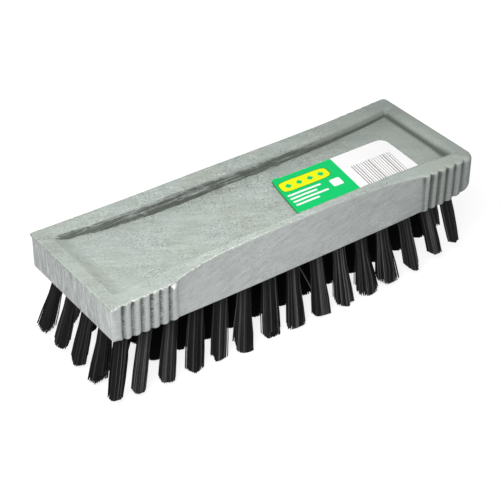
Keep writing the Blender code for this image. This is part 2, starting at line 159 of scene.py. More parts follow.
# Tip widths of the front row from left to right, and of the left-hand end from behind its front corner to the
# back, in millimetres
FRONT_TIPS = (5.0, 6.0, 6.6, 6.0, 6.0, 8.4, 6.4, 8.0, 8.1, 8.6, 10.4, 9.6, 7.0, 6.4, 4.8)
LEFT_TIPS = (8.0, 7.0, 7.0, 8.3)
# How far the same tufts' cut ends lie to the right of where their holes point, in millimetres
FRONT_LEANS = (0.6, -1.6, -1.3, -1.3, -0.9, -2.0, -0.3, -0.9, -0.6, -0.4, -0.4, -1.6, -0.8, 1.3, -1.4)
LEFT_LEANS = (2.1, 0.5, -1.4, 1.0)
# How much shorter the same tufts are, in millimetres
FRONT_TRIMS = (1.0, 0.6, 1.3, 0.8, 0.0, 0.0, 0.0, 0.0, 0.0, 0.0, 0.8, 1.9, 0.7, 1.6, 1.2)
LEFT_TRIMS = (0.0, 0.6, 2.4, 0.2)


class ShoeBrushTufts(bpy.types.PropertyGroup):
    """Sizes and colours of the bristle tufts and their anchors."""

    rows: IntProperty(name="Rows", description="Tufts across the block", default=5, min=1)
    end_margin: length_prop("End margin", "From the end of the block to the tufts beside it", 8.8)
    side_margin: length_prop("Side margin", "From the side of the block to the tufts beside it", 7.5)
    column_fan: angle_prop("Fan along", "Lean of the tufts at the ends of the block", 13)
    row_fan: angle_prop("Fan across", "Lean of the tufts at the sides of the block", 9)
    row_power: FloatProperty(name="Fan power", description="How late the lean grows towards the sides",
                             default=3.5, min=1.0)
    hole_diameter: length_prop("Hole diameter", "Diameter of a tuft's hole", 5.0)
    hole_depth: length_prop("Hole depth", "Depth of a tuft's hole", 4.5)
    filaments: IntProperty(name="Filaments", description="Filaments in each tuft", default=150, min=8)
    filament_diameter: length_prop("Filament diameter", "Diameter of one filament", 0.5)
    root_diameter: length_prop("Root diameter", "Diameter of a tuft where it leaves its hole", 4.7)
    belly_diameter: length_prop("Belly diameter", "Diameter of a tuft a little below its hole", 6.0)
    tip_diameter: length_prop("Tip diameter", "Usual diameter of a tuft at its cut end", 6.7)
    inner_diameter: length_prop("Inner tip diameter", "Diameter of the inner tufts at their cut ends", 8.8)
    inner_drift: length_prop("Inner drift", "How far the inner tufts' ends lie right of their holes", 2.3)
    inner_trim: length_prop("Inner trim", "How much shorter the second column's inner tufts are", 4.5)
    inner_lean: length_prop("Inner lean", "How far the same tufts lean to the left", 1.0)
    left_lean: angle_prop("Left lean", "How much further the left-hand end's tufts lean out", 1.7)
    left_trim: length_prop("Left trim", "Height of the cut ends at the left-hand end", 2.8)
    right_trim: length_prop("Right trim", "Height of the cut ends at the right-hand end", 5.5)
    level_reach: length_prop("Level reach", "From mid-length to where the cut begins to rise", 40)
    notch: length_prop("Notch", "How far the longest notch runs up the side of a tuft", 7.0)
    colour: colour_prop("Bristle", "Colour of the filaments", (0.003, 0.003, 0.0035))
    # Painted highlight: the pale filaments' colour stands in for light that they catch
    sheen_colour: colour_prop("Pale bristle", "Colour of the palest filaments", (0.088, 0.085, 0.089))
    # Painted shade: a darker colour for the inner rows' filaments, which lie in shade
    shaded_colour: colour_prop("Shaded bristle", "Colour of the inner rows' filaments", (0.002, 0.002, 0.002))
    anchor_thickness: length_prop("Anchor thickness", "Thickness of an anchor's flat wire", 0.3)
    anchor_width: length_prop("Anchor width", "Width of an anchor's flat wire, along the hole", 2.0)
    anchor_lift: length_prop("Anchor lift", "From the bottom of the hole to its anchor", 0.5)
    anchor_bite: length_prop("Anchor bite", "How far each end of an anchor bites into its hole's wall", 0.4)
    anchor_colour: colour_prop("Anchor", "Colour of the anchor wire", (0.62, 0.60, 0.56))


class ShoeBrushLabel(bpy.types.PropertyGroup):
    """Sizes and colours of the paper label."""

    length: length_prop("Length", "Length of the label", 60.4)
    width: length_prop("Width", "Width of the label", 25.5)
    thickness: length_prop("Thickness", "Thickness of the paper", 0.16)
    lift: length_prop("Lift", "Gap between the label and the floor of the recess", 0.22)
    back_left_radius: length_prop("Back left corner", "Radius of the label's curled back left corner", 2.7)
    front_radius: length_prop("Front corners", "Radius of the label's front corners", 0.8)
    right_radius: length_prop("Back right corner", "Radius of the label's back right corner", 4.0)
    corner_x: length_prop("Corner along", "Place of its back left corner along the block", 10.35)
    corner_y: length_prop("Corner across", "Place of its back left corner across the block", 9.75)
    turn: angle_prop("Turn", "How far the label is turned from the block's length", -3.1)
    left_draw: length_prop("Left draw", "How far the left edge lies inwards at its back end", 1.9)
    left_slant: FloatProperty(name="Left slant", default=0.145,
                              description="How fast the left edge comes out again towards the front")
    curl: length_prop("Curl", "How far the back left corner lifts", 0.6)
    field_colour: colour_prop("Field", "Colour of the printed field", (0.0, 0.64, 0.165))
    band_colour: colour_prop("Band", "Colour of the printed band", (0.92, 0.96, 0.0))
    # Also the painted shadow along the label's left edge
    line_and_shadow_colour: colour_prop("Band edge", "Colour of the line round the band", (0.01, 0.20, 0.03))
    paper_colour: colour_prop("Paper", "Colour of the bare paper", (1.0, 1.0, 1.0))
    ink_colour: colour_prop("Ink", "Colour of the printed bars", (0.36, 0.33, 0.33))


class ShoeBrushStudio(bpy.types.PropertyGroup):
    """The studio round the brush."""

    lens: FloatProperty(name="Lens", description="Focal length of the camera in millimetres", default=114.62)
    azimuth: angle_prop("Azimuth", "Direction that the camera looks from", -35.38)
    elevation: angle_prop("Elevation", "Height of the camera above the horizon", 36.73)
    roll: angle_prop("Roll", "Turn of the camera about its own axis", 0.27)
    sky_strength: FloatProperty(name="Sky", description="Strength of the even light", default=0.40)
    sky_colour: colour_prop("Sky colour", "Colour of the even light", (1.0, 1.0, 1.0))
    key_power: FloatProperty(name="Key lamp", description="Power of the lamp at the upper left", default=2.9,
                             unit="POWER")
    floor_colour: colour_prop("Floor", "Colour of the floor", (0.70, 0.70, 0.70))
    floor_shown: share_prop("Floor shown", "How pale the floor is to the camera before its glow", 0.30)
    floor_glow: share_prop("Floor glow", "How far the floor glows white, whatever shadow lies on it", 0.82)


SETTINGS = (ShoeBrushBlock, ShoeBrushTufts, ShoeBrushLabel, ShoeBrushStudio)


def short_name(group):
    return group.__name__.removeprefix("ShoeBrush").lower()


def settings(name):
    return getattr(bpy.context.scene, "shoe_brush_" + name)


def smoothstep(low, high, value):
    share = np.clip((np.asarray(value, float) - low) / (high - low), 0, 1)
    return share * share * (3 - 2 * share)


def ramp(low, high, value):
    """Goes smoothly from 0 to 1 between two places in millimetres, of which the first may be the greater."""
    return smoothstep(low * MM, high * MM, value)


def bell(distance, width):
    return np.exp(-((distance / width) ** 2))


def wobble(place, step, seed):
    """A smooth random curve from -1 to 1 along a line, with a new value every step."""
    count = 4096
    values = np.random.default_rng(seed).uniform(-1, 1, count)
    at = np.asarray(place, float) / step + count // 2
    low = np.floor(at).astype(int)
    blend = smoothstep(0, 1, at - low)
    return values[low] * (1 - blend) + values[low + 1] * blend


def unevenness(x, y, step, seed):
    """A smooth random surface from -1 to 1: curves that run four ways, each with a longer step."""
    ways = [(1.0, 0.0), (0.62, 0.78), (-0.45, 0.89), (0.17, -0.98)]
    lengthening = 0.27
    gain = 1.6
    waves = [wobble(x * a + y * b, step * (1 + lengthening * i), seed + i) for i, (a, b) in enumerate(ways)]
    return sum(waves) / len(waves) * gain


def new_object(name, data):
    thing = bpy.data.objects.new(name, data)
    bpy.context.scene.collection.objects.link(thing)
    return thing


def new_piece(name, vertices, faces, looks, attributes, sharp_degrees, face_looks=None):
    """A smooth-shaded mesh that rides on the brush. Each of its attributes holds a number for each vertex."""
    mesh = bpy.data.meshes.new(name)
    mesh.from_pydata([tuple(v) for v in vertices], [], [tuple(f) for f in faces])
    for key, values in attributes.items():
        layer = mesh.attributes.new(key, "FLOAT", "POINT")
        layer.data.foreach_set("value", np.asarray(values, np.float32))
    for look in looks:
        mesh.materials.append(look)
    if face_looks is not None:
        mesh.polygons.foreach_set("material_index", np.asarray(face_looks, np.int32))
    mesh.validate()
    mesh.shade_smooth()
    mesh.set_sharp_from_angle(angle=math.radians(sharp_degrees))
    piece = new_object(name, mesh)
    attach(piece, BODY)
    return piece


class NodeSheet:
    """Adds nodes to one tree, and sets or links their inputs."""

    def __init__(self, tree):
        self.tree = tree

    def feed(self, socket, value):
        if isinstance(value, bpy.types.NodeSocket):
            self.tree.links.new(value, socket)
        elif socket.type == "RGBA" and len(value) == 3:
            socket.default_value = (*value, 1)
        else:
            socket.default_value = value

    def add(self, kind, options=None, **inputs):
        node = self.tree.nodes.new("ShaderNode" + kind)
        for name, value in (options or {}).items():
            setattr(node, name, value)
        for name, value in inputs.items():
            self.feed(node.inputs[name.replace("_", " ")], value)
        return node

    def place(self, tree, **inputs):
        return self.add("Group", {"node_tree": tree}, **inputs).outputs

    def maths(self, operation, *values, clamp=False):
        node = self.add("Math", {"operation": operation, "use_clamp": clamp})
        for socket, value in zip(node.inputs, values):
            self.feed(socket, value)
        return node.outputs[0]

    def plus(self, a, b):
        return self.maths("ADD", a, b)

    def times(self, a, b, clamp=False):
        return self.maths("MULTIPLY", a, b, clamp=clamp)

    def scaled(self, value, factor, offset, clamp=False):
        return self.maths("MULTIPLY_ADD", value, factor, offset, clamp=clamp)

    def rest(self, share):
        return self.maths("SUBTRACT", 1.0, share)

    def vector(self, operation, *values):
        node = self.add("VectorMath", {"operation": operation})
        for socket, value in zip(node.inputs, values):
            self.feed(socket, value)
        return node.outputs[0]

    def spread(self, value, low, high, to_low=0.0, to_high=1.0):
        """Goes smoothly from one number to another while the value goes from low to high."""
        node = self.add("MapRange", {"interpolation_type": "SMOOTHSTEP"}, Value=value, From_Min=low,
                        From_Max=high, To_Min=to_low, To_Max=to_high)
        return node.outputs["Result"]

    def mix(self, share, below, above):
        node = self.add("Mix", {"data_type": "RGBA", "clamp_factor": True})
        for index, value in ((0, share), (6, below), (7, above)):
            self.feed(node.inputs[index], value)
        return node.outputs[2]

    def noise(self, vector, scale, detail=2.0, roughness=0.5, distortion=0.0):
        return self.add("TexNoise", Vector=vector, Scale=scale, Detail=detail, Roughness=roughness,
                        Distortion=distortion).outputs["Fac"]

    def turned(self, vector, axis, angle):
        options = {"rotation_type": axis + "_AXIS"}
        return self.add("VectorRotate", options, Vector=vector, Angle=angle).outputs[0]

    def along_x(self, vector):
        return self.add("SeparateXYZ", Vector=vector).outputs["X"]

    def toned(self, colour, tone):
        """A colour made lighter or darker by one number."""
        return self.vector("MULTIPLY", colour, self.add("CombineXYZ", X=tone, Y=tone, Z=tone).outputs[0])

    def coordinates(self, output="Object"):
        return self.add("TexCoord").outputs[output]

    def attribute(self, name):
        return self.add("Attribute", {"attribute_name": name}).outputs["Fac"]

    def bump(self, height, distance, strength=1.0, normal=None):
        node = self.add("Bump", Height=height, Distance=distance, Strength=strength)
        if normal is not None:
            self.feed(node.inputs["Normal"], normal)
        return node.outputs["Normal"]


def new_effect(name, inputs, outputs):
    """A shader node group with these named sockets, and what is needed to fill it."""
    tree = bpy.data.node_groups.new(name, "ShaderNodeTree")
    for socket, (kind, default) in inputs.items():
        made = tree.interface.new_socket(socket, in_out="INPUT", socket_type="NodeSocket" + kind)
        if default is not None:
            made.default_value = default
    for socket, kind in outputs.items():
        tree.interface.new_socket(socket, in_out="OUTPUT", socket_type="NodeSocket" + kind)
    given = tree.nodes.new("NodeGroupInput").outputs
    wanted = tree.nodes.new("NodeGroupOutput").inputs
    return NodeSheet(tree), given, wanted


def effect(name, build):
    return bpy.data.node_groups.get(name) or build(name)


def build_cast_grain(name):
    """Mottling, fine grain, small open pits and clusters of pale flecks."""
    sheet, given, wanted = new_effect(
        name, {"Vector": ("Vector", None), "Scale": ("Float", 1500.0), "Pitting": ("Float", 0.5)},
        {"Tone": "Float", "Pits": "Float", "Flecks": "Float", "Height": "Float"})
    broad = sheet.noise(given["Vector"], sheet.times(given["Scale"], 0.13), 3.0, 0.6)
    fine = sheet.noise(given["Vector"], given["Scale"], 2.0, 0.6)
    coarse = sheet.times(given["Scale"], 0.45)
    cells = sheet.add("TexVoronoi", Vector=given["Vector"], Scale=coarse, Randomness=1.0)
    hole = sheet.spread(cells.outputs["Distance"], 0.05, 0.28, 1.0, 0.0)
    chosen = sheet.add("SeparateColor", Color=cells.outputs["Color"]).outputs["Red"]
    pits = sheet.times(hole, sheet.maths("GREATER_THAN", chosen, sheet.rest(given["Pitting"])))
    cluster = sheet.noise(given["Vector"], sheet.times(given["Scale"], 0.06), 2.0, 0.6)
    spark = sheet.noise(given["Vector"], sheet.times(given["Scale"], 1.4), 1.0, 0.5)
    flecks = sheet.times(sheet.spread(cluster, 0.56, 0.68), sheet.spread(spark, 0.58, 0.68))
    tone = sheet.plus(sheet.scaled(broad, 0.6, -0.3), sheet.scaled(fine, 2.0, -1.0))
    height = sheet.scaled(broad, 0.5, sheet.times(fine, 0.5))
    sheet.feed(wanted["Tone"], tone)
    sheet.feed(wanted["Pits"], pits)
    sheet.feed(wanted["Flecks"], flecks)
    sheet.feed(wanted["Height"], sheet.maths("SUBTRACT", height, pits))
    return sheet.tree


def build_flow_streaks(name):
    """Long streaks, from noise that is drawn out along the smallest share of Stretch."""
    sheet, given, wanted = new_effect(
        name, {"Vector": ("Vector", None), "Stretch": ("Vector", (1.0, 1.0, 1.0)), "Scale": ("Float", 900.0)},
        {"Tone": "Float", "Height": "Float"})
    drawn = sheet.vector("MULTIPLY", given["Vector"], given["Stretch"])
    wide = sheet.noise(drawn, sheet.times(given["Scale"], 0.35), 3.0, 0.6, 0.4)
    thin = sheet.noise(drawn, given["Scale"], 4.0, 0.65, 0.2)
    both = sheet.scaled(wide, 0.5, sheet.times(thin, 0.5))
    sheet.feed(wanted["Tone"], sheet.scaled(both, 2.0, -1.0))
    sheet.feed(wanted["Height"], both)
    return sheet.tree


def build_ragged_edge(name):
    """A ragged edge mask, for worn and torn edges and a painted highlight: from how near the edge is and a
    noise that breaks it up.
    """
    sheet, given, wanted = new_effect(
        name, {"Nearness": ("Float", 0.0), "Vector": ("Vector", None), "Scale": ("Float", 900.0),
               "Raggedness": ("Float", 0.8)}, {"Mask": "Float"})
    torn = sheet.noise(given["Vector"], given["Scale"], 3.0, 0.7)
    torn = sheet.scaled(torn, 2.0, -1.0)
    near = sheet.scaled(torn, given["Raggedness"], given["Nearness"])
    sheet.feed(wanted["Mask"], sheet.spread(near, 0.45, 0.75))
    return sheet.tree


def new_look(name):
    look = bpy.data.materials.new(name)
    look.use_nodes = True
    shader = look.node_tree.nodes["Principled BSDF"]
    return look, NodeSheet(look.node_tree), shader.inputs


def streaks(sheet, vector, stretch, scale):
    return sheet.place(effect("Flow Streaks", build_flow_streaks), Vector=vector, Stretch=stretch,
                       Scale=scale)


def cast_grain(sheet, vector, scale, pitting):
    return sheet.place(effect("Cast Grain", build_cast_grain), Vector=vector, Scale=scale, Pitting=pitting)


def ragged(sheet, mask, vector, scale, raggedness):
    """One of the masks that the mesh carries, with its edge broken up."""
    return sheet.place(effect("Ragged Edge", build_ragged_edge), Nearness=sheet.attribute(mask),
                       Vector=vector, Scale=scale, Raggedness=raggedness)["Mask"]


def plastic_look(s):
    """Foamed grey plastic: pitted, mottled top, streaked sides, pale torn edges, creases of painted shade,
    painted highlights.
    """
    look, sheet, surface = new_look("moulded_grey")
    place = sheet.coordinates()
    facing = sheet.add("SeparateXYZ", Vector=sheet.coordinates("Normal")).outputs
    upward = sheet.spread(facing["Z"], 0.35, 0.8)
    sideways = sheet.rest(upward)
    endward = sheet.spread(sheet.maths("ABSOLUTE", facing["X"]), 0.6, 0.9)
    rightward = sheet.spread(sheet.along_x(place), 20 * MM, 75 * MM)

    slanting = sheet.turned(place, "Z", math.radians(24))
    leaning = sheet.turned(place, "Y", math.radians(13))
    grain = cast_grain(sheet, sheet.vector("MULTIPLY", slanting, (0.7, 1.0, 1.0)), 1600.0, 0.55)
    along = streaks(sheet, leaning, (0.12, 1.0, 1.0), 2300.0)
    upright = streaks(sheet, place, (1.0, 1.0, 0.13), 2100.0)
    level = streaks(sheet, place, (0.04, 1.0, 1.0), 2400.0)
    hairs = streaks(sheet, slanting, (0.15, 1.0, 1.0), 1700.0)
    drift = streaks(sheet, slanting, (0.2, 1.0, 1.0), 600.0)
    wear_and_highlight = ragged(sheet, "edge_wear", place, 900.0, 0.8)
    chip = ragged(sheet, "chip", place, 1100.0, 0.9)

    # Tone of the sides: streaks along them, and upright and stronger ones on the end faces
    on_sides = sheet.times(along["Tone"], sheet.rest(endward))
    on_ends = sheet.times(upright["Tone"], sheet.times(endward, 3.0))
    streak = sheet.plus(on_sides, on_ends)
    side_tone = sheet.times(sheet.scaled(grain["Tone"], 0.3, streak), 0.52)

    # Tone of the top: grain that is patchy and fades to the right and at the left-hand end, and broad drifts
    patchy = sheet.spread(sheet.noise(place, 70.0, 2.0), 0.38, 0.6, 0.45, 1.0)
    smoother = sheet.scaled(rightward, -0.72, 1.0)
    leftward = sheet.spread(sheet.along_x(place), -78 * MM, -55 * MM, 0.6, 1.0)
    rough_skin = sheet.times(patchy, sheet.times(smoother, leftward))
    grained = sheet.times(grain["Tone"], sheet.times(rough_skin, 0.72))
    drifted = sheet.times(drift["Tone"], sheet.scaled(rightward, -0.26, 0.42))
    top_tone = sheet.plus(grained, drifted)

    tone = sheet.scaled(top_tone, upward, sheet.times(side_tone, sideways))
    tinted = sheet.mix(sheet.spread(sheet.noise(place, 45.0, 2.0), 0.4, 0.62), s.top_colour, s.tint_colour)
    plain = sheet.mix(upward, s.skin_colour, tinted)
    # Painted light and shade from the mesh: darker to the right, back and ends, paler along the front rim
    lit = sheet.maths("SUBTRACT", sheet.plus(tone, 1.0), sheet.attribute("soil"))
    pits = sheet.times(grain["Pits"], sheet.times(rough_skin, 0.6))
    flecks = sheet.times(grain["Flecks"], sheet.times(rough_skin, 0.9))
    colour = sheet.mix(pits, sheet.toned(plain, lit), s.pit_and_shade_colour)
    colour = sheet.mix(flecks, colour, s.wear_and_highlight_colour)

    # Painted shade: the back wall's band is drawn out into level strands and hairs, and valley shade broken
    # up by grain
    crease = sheet.attribute("crease")
    strands = sheet.scaled(level["Tone"], 1.9, sheet.times(hairs["Tone"], 0.6))
    strands = sheet.times(strands, sheet.spread(crease, 0.02, 0.3))
    crease = sheet.spread(sheet.plus(crease, strands), 0.20, 0.95, 0.0, 0.95)
    leftmost = sheet.times(sideways, sheet.rest(rightward))
    broken = sheet.scaled(sheet.times(grain["Tone"], leftmost), 1.8, 1.0)
    painted_shade = sheet.times(sheet.attribute("painted_shade"), broken, clamp=True)
    colour = sheet.mix(sheet.maths("MAXIMUM", crease, painted_shade), colour, s.pit_and_shade_colour)
    # Pale worn edges, and a faint painted highlight along the recess's rounded edges
    colour = sheet.mix(wear_and_highlight, colour, s.wear_and_highlight_colour)
    sheet.feed(surface["Base Color"], sheet.mix(chip, colour, s.chip_colour))

    rough = sheet.scaled(grain["Tone"], 0.1, 0.55)
    sheet.feed(surface["Roughness"], sheet.scaled(wear_and_highlight, 0.25, rough, clamp=True))
    surface["Specular IOR Level"].default_value = 0.3
    relief = sheet.bump(sheet.times(grain["Height"], upward), 0.20 * MM, 0.7)
    relief = sheet.bump(sheet.times(streak, sideways), 0.15 * MM, 0.9, relief)
    sheet.feed(surface["Normal"], sheet.bump(wear_and_highlight, 0.20 * MM, 0.6, relief))
    return look


def bristle_look(s):
    """Drawn black filaments, a few of them painted paler than the others, as painted highlights."""
    look, sheet, surface = new_look("black_bristle")
    drawn = streaks(sheet, sheet.coordinates(), (1.0, 1.0, 0.06), 2200.0)
    # Painted highlights: filaments and streaks along them made paler
    pale = sheet.spread(sheet.attribute("paleness"), 0.42, 0.95)
    pale = sheet.times(pale, sheet.scaled(drawn["Tone"], 0.8, 1.0), clamp=True)
    sheet.feed(surface["Base Color"], sheet.mix(pale, s.colour, s.sheen_colour))
    sheet.feed(surface["Roughness"], sheet.scaled(drawn["Tone"], 0.15, 0.45))
    surface["Specular IOR Level"].default_value = 0.15
    sheet.feed(surface["Normal"], sheet.bump(drawn["Height"], 0.04 * MM, 0.5))
    return look


def shaded_bristle_look(s):
    """Painted shade: a darker copy of the bristles for the inner rows, between which hardly any light comes
    back.
    """
    look, sheet, surface = new_look("black_bristle_shaded")
    drawn = streaks(sheet, sheet.coordinates(), (1.0, 1.0, 0.06), 2200.0)
    lifted = sheet.toned(s.shaded_colour, 3.0)
    colour = sheet.mix(sheet.spread(drawn["Tone"], 0.0, 0.6), s.shaded_colour, lifted)
    sheet.feed(surface["Base Color"], colour)
    sheet.feed(surface["Roughness"], sheet.scaled(drawn["Tone"], 0.1, 0.88))
    surface["Specular IOR Level"].default_value = 0.1
    sheet.feed(surface["Normal"], sheet.bump(drawn["Height"], 0.04 * MM, 0.5))
    return look


def anchor_look(s):
    """Drawn flat wire with fine lines along it."""
    look, sheet, surface = new_look("anchor_steel")
    place = sheet.coordinates()
    drawn = streaks(sheet, place, (0.3, 0.3, 1.0), 4000.0)
    grain = cast_grain(sheet, place, 2500.0, 0.1)
    dull = sheet.toned(s.anchor_colour, 0.6)
    sheet.feed(surface["Base Color"], sheet.mix(grain["Pits"], s.anchor_colour, dull))
    surface["Metallic"].default_value = 1.0
    sheet.feed(surface["Roughness"], sheet.scaled(drawn["Tone"], 0.12, 0.38))
    sheet.feed(surface["Normal"], sheet.bump(drawn["Height"], 0.02 * MM, 0.6))
    return look


def rounded_inset(height, radius):
    """How far an edge of that radius stands in at a height above its bottom."""
    below = np.maximum(radius - height, 0)
    return radius - np.sqrt(radius**2 - below**2)


class BlockShape:
    """The block's outline, ribs, waist and recess as functions of place, in metres."""

    # How finely the mesh follows the corners, the ribs, the waist and the recess
    ARC_STEPS = 16
    RIB_STEP = 0.34 * MM
    WAIST_STEP = 0.55 * MM
    RIM_ROWS = 7
    WALL_ROWS = 15
    WALL_REACH = 3.4 * MM
    FLOOR_ROWS = 24
    # How far from an end the rounding of the foot grows
    END_REACH = 8 * MM
    # How late the waists and the recess's bow narrow towards their ends, and how sharp the grooves are
    POWER = 3.5
    GROOVE_POWER = 1.6
    # The top lies this far below the solids' top, so that its unevenness stays inside them
    TOP_GAP = 0.15 * MM
    # Where the recess's bow has its middle
    BOW_MIDDLE = -0.5 * MM
    # The torn chip under the lip at the last rib on the left
    CHIP_X = -62.0 * MM
    CHIP_BELOW = 1.1 * MM
    CHIP_HALF_LENGTH = 1.3 * MM
    CHIP_HALF_HEIGHT = 1.5 * MM
    CHIP_DEPTH = 0.5 * MM
    # Step and seed of each random wave
    LIP_TEARS = (0.8 * MM, 61)
    LIP_WAVES = (2.4 * MM, 67)
    SIDE_BENDS = (11 * MM, 71)
    CHIP_TEARS = (0.7 * MM, 83)
    BACK_EDGE_WAVES = (2.2 * MM, 31)
    FRONT_EDGE_WAVES = (5.0 * MM, 37)
    WALL_RIDGES = (0.55 * MM, 41)
    FLOOR_DENTS = (9 * MM, 5)
    FLOOR_RIPPLES = (2.3 * MM, 15)
    RIM_DENTS = (6 * MM, 11)

    def __init__(self, s):
        self.s = s
        steps = s.rib_pitch * np.arange(s.rib_grooves + 1)
        self.left_grooves = s.left_land - HALF_LENGTH + steps
        # The right-hand group has one groove fewer, so its last two share one place
        self.right_grooves = HALF_LENGTH - s.right_land - np.minimum(steps, steps[-2])
        self.recess_left = s.left_rim - HALF_LENGTH
        self.recess_right = HALF_LENGTH - s.right_rim
        self.top = TOP_Z - self.TOP_GAP
        self.height_range = self.top - UNDERSIDE_Z

    def grooves_beside(self, x):
        """The places of the left-hand or right-hand group of grooves, whichever is on the side of each x."""
        return np.where(x[:, None] < 0, self.left_grooves, self.right_grooves)

    def groove(self, x, rise):
        """How far a long side lies behind the crests of its ribs."""
        left, right = self.left_grooves[-1], self.right_grooves[-1]
        share = np.clip(np.abs(2 * x - left - right) / (right - left), 0, 1)
        plain = self.s.plain_step - self.s.plain_bow * (1 - share**self.POWER) * (1 - rise)
        apart = np.abs(x[:, None] - self.grooves_beside(x))
        order = np.arange(apart.shape[1])
        ends_group = (order == len(order) - 1) | ((x[:, None] > 0) & (order == len(order) - 2))
        depths = np.where(ends_group, self.s.plain_step, self.s.groove_depth)
        open_share = 1 - np.clip(apart / self.s.groove_half_width, 0, 1)
        depth = np.max(depths * open_share**self.GROOVE_POWER, axis=1)
        return np.where((x > left) & (x < right), plain, depth)

    def groove_phase(self, x):
        """Where x lies across its nearest groove, from -0.5 at the crest to its left to 0.5 at the next."""
        grooves = self.grooves_beside(x)
        nearest = np.argmin(np.abs(x[:, None] - grooves), axis=1)
        return (x - grooves[np.arange(len(x)), nearest]) / self.s.rib_pitch

    def waist(self, x, reach):
        """1 at mid-length, where a waist is deepest, and 0 from its reach on."""
        return 1 - np.clip(np.abs(x) / reach, 0, 1) ** self.POWER

    def on_ribs(self, x):
        """1 over the two groups of ribs, 0 between them."""
        margin = 1 * MM
        left = smoothstep(self.left_grooves[-1] + margin, self.left_grooves[-1] - margin, x)
        right = smoothstep(self.right_grooves[-1] - margin, self.right_grooves[-1] + margin, x)
        return np.maximum(left, right)

    def side_y(self, side, x, rise):
        """Distance of the front (-1) or back (1) from the middle plane, at a share of the height."""
        return self.front_y(x, rise) if side < 0 else self.back_y(x, rise)

    def front_y(self, x, rise):
        """The front, with its waist and chip. A lip, ragged on the left, fills the tops of its grooves."""
        s = self.s
        below = (1 - rise) * self.height_range
        on_ribs = self.on_ribs(x)
        kept = 0.40 + 0.28 * ramp(0, 10, x)
        lipped = kept + (1 - kept) * smoothstep(0.3 * s.lip_depth, s.lip_depth, below)
        lipped = lipped * on_ribs + 1 - on_ribs
        reach = np.where(x < 0, s.left_reach, s.right_reach)
        drawn_in = rise * s.front_waist * self.waist(x, reach)
        tears = s.lip_raggedness * wobble(x, *self.LIP_TEARS) * ramp(-55, -62, x)
        tears += 0.08 * MM * wobble(x, *self.LIP_WAVES)
        lip = tears * smoothstep(s.lip_depth, 0, below)
        bend = 0.10 * MM * wobble(x, *self.SIDE_BENDS) * (1 - on_ribs)
        torn = self.CHIP_DEPTH * self.chip(x, below) * (0.6 + 0.4 * wobble(x + 0.6 * below, *self.CHIP_TEARS))
        return HALF_WIDTH - self.groove(x, rise) * lipped - drawn_in - np.abs(lip) - np.abs(bend) - torn

    def back_y(self, x, rise):
        """The back, whose grooves run out below the top."""
        s = self.s
        below = (1 - rise) * self.height_range
        share = x / (2 * HALF_LENGTH) + 0.5
        waist = s.back_left_waist + (s.back_right_waist - s.back_left_waist) * share
        kept = np.clip(below / s.back_rib_fade, 0, 1)
        return HALF_WIDTH - self.groove(x, rise) * kept - rise * waist * self.waist(x, s.back_reach)

    def chip(self, x, below):
        """1 in the middle of the torn chip, 0 outside it."""
        along = (x - self.CHIP_X) / self.CHIP_HALF_LENGTH
        down = (below - self.CHIP_BELOW) / self.CHIP_HALF_HEIGHT
        return np.exp(-((along**2 + down**2) ** 2))

    def edge_round(self, side, x):
        """Rounding of the top edge of a long side."""
        s = self.s
        share = ramp(35, 80, x) if side < 0 else ramp(-20, 60, x) * 0.8
        return s.left_edge + (s.right_edge - s.left_edge) * share

    def foot_round(self, side, x, y):
        """Rounding of the bottom edge below a long side, and below an end face."""
        s = self.s
        if side < 0:
            grown = 0.3 * ramp(-62, -84, x) + 0.7 * ramp(-83, -90, x)
            grown = np.maximum(grown, ramp(74, 90, x))
        else:
            grown = 0.4 * ramp(80, 90, np.abs(x))
        below_side = s.bottom_edge + (s.front_bottom_edge - s.bottom_edge) * grown
        frontward = smoothstep(HALF_WIDTH, -HALF_WIDTH, y)
        return below_side, s.end_bottom_edge + (s.front_bottom_edge - s.end_bottom_edge) * frontward

    def inner_half(self, x):
        """Half the recess's width at its top edge."""
        share = np.clip(np.abs(x - self.BOW_MIDDLE) / (HALF_LENGTH - self.s.left_rim), 0, 1)
        return HALF_WIDTH - self.s.rim_side - self.s.rim_bow * (1 - share**self.POWER)

    def floor_depth(self, x):
        """Depth of the recess's floor, which rises from its deepest place to both ends."""
        s = self.s
        left = (s.deepest_place - x) / (s.deepest_place - self.recess_left - s.left_ramp)
        right = (x - s.deepest_place) / (self.recess_right - s.right_wall - s.deepest_place)
        return s.recess_depth - (s.recess_depth - s.recess_left_depth) * np.clip(left, 0, 1) ** 2 \
            - (s.recess_depth - s.recess_right_depth) * np.clip(right, 0, 1) ** 1.3

    def walls(self, x, y):
        """How far a point has gone down the left, right, front and back walls, from 0 at their top to 1."""
        half = self.inner_half(x)
        kink = 0.5 * MM * ramp(-79, -74, x) * ramp(-66, -73, x)
        back_edge = half + 0.08 * MM * wobble(x, *self.BACK_EDGE_WAVES) * ramp(40, -20, x) + kink
        front_edge = half + 0.15 * MM * wobble(x, *self.FRONT_EDGE_WAVES)
        left = (x - self.recess_left) / self.s.left_ramp
        right = (self.recess_right - x) / self.s.right_wall
        front = (y + front_edge) / self.s.side_wall
        back = (back_edge - y) / (self.s.side_wall * (1 + 0.7 * ramp(0, 70, x)))
        return left, right, front, back

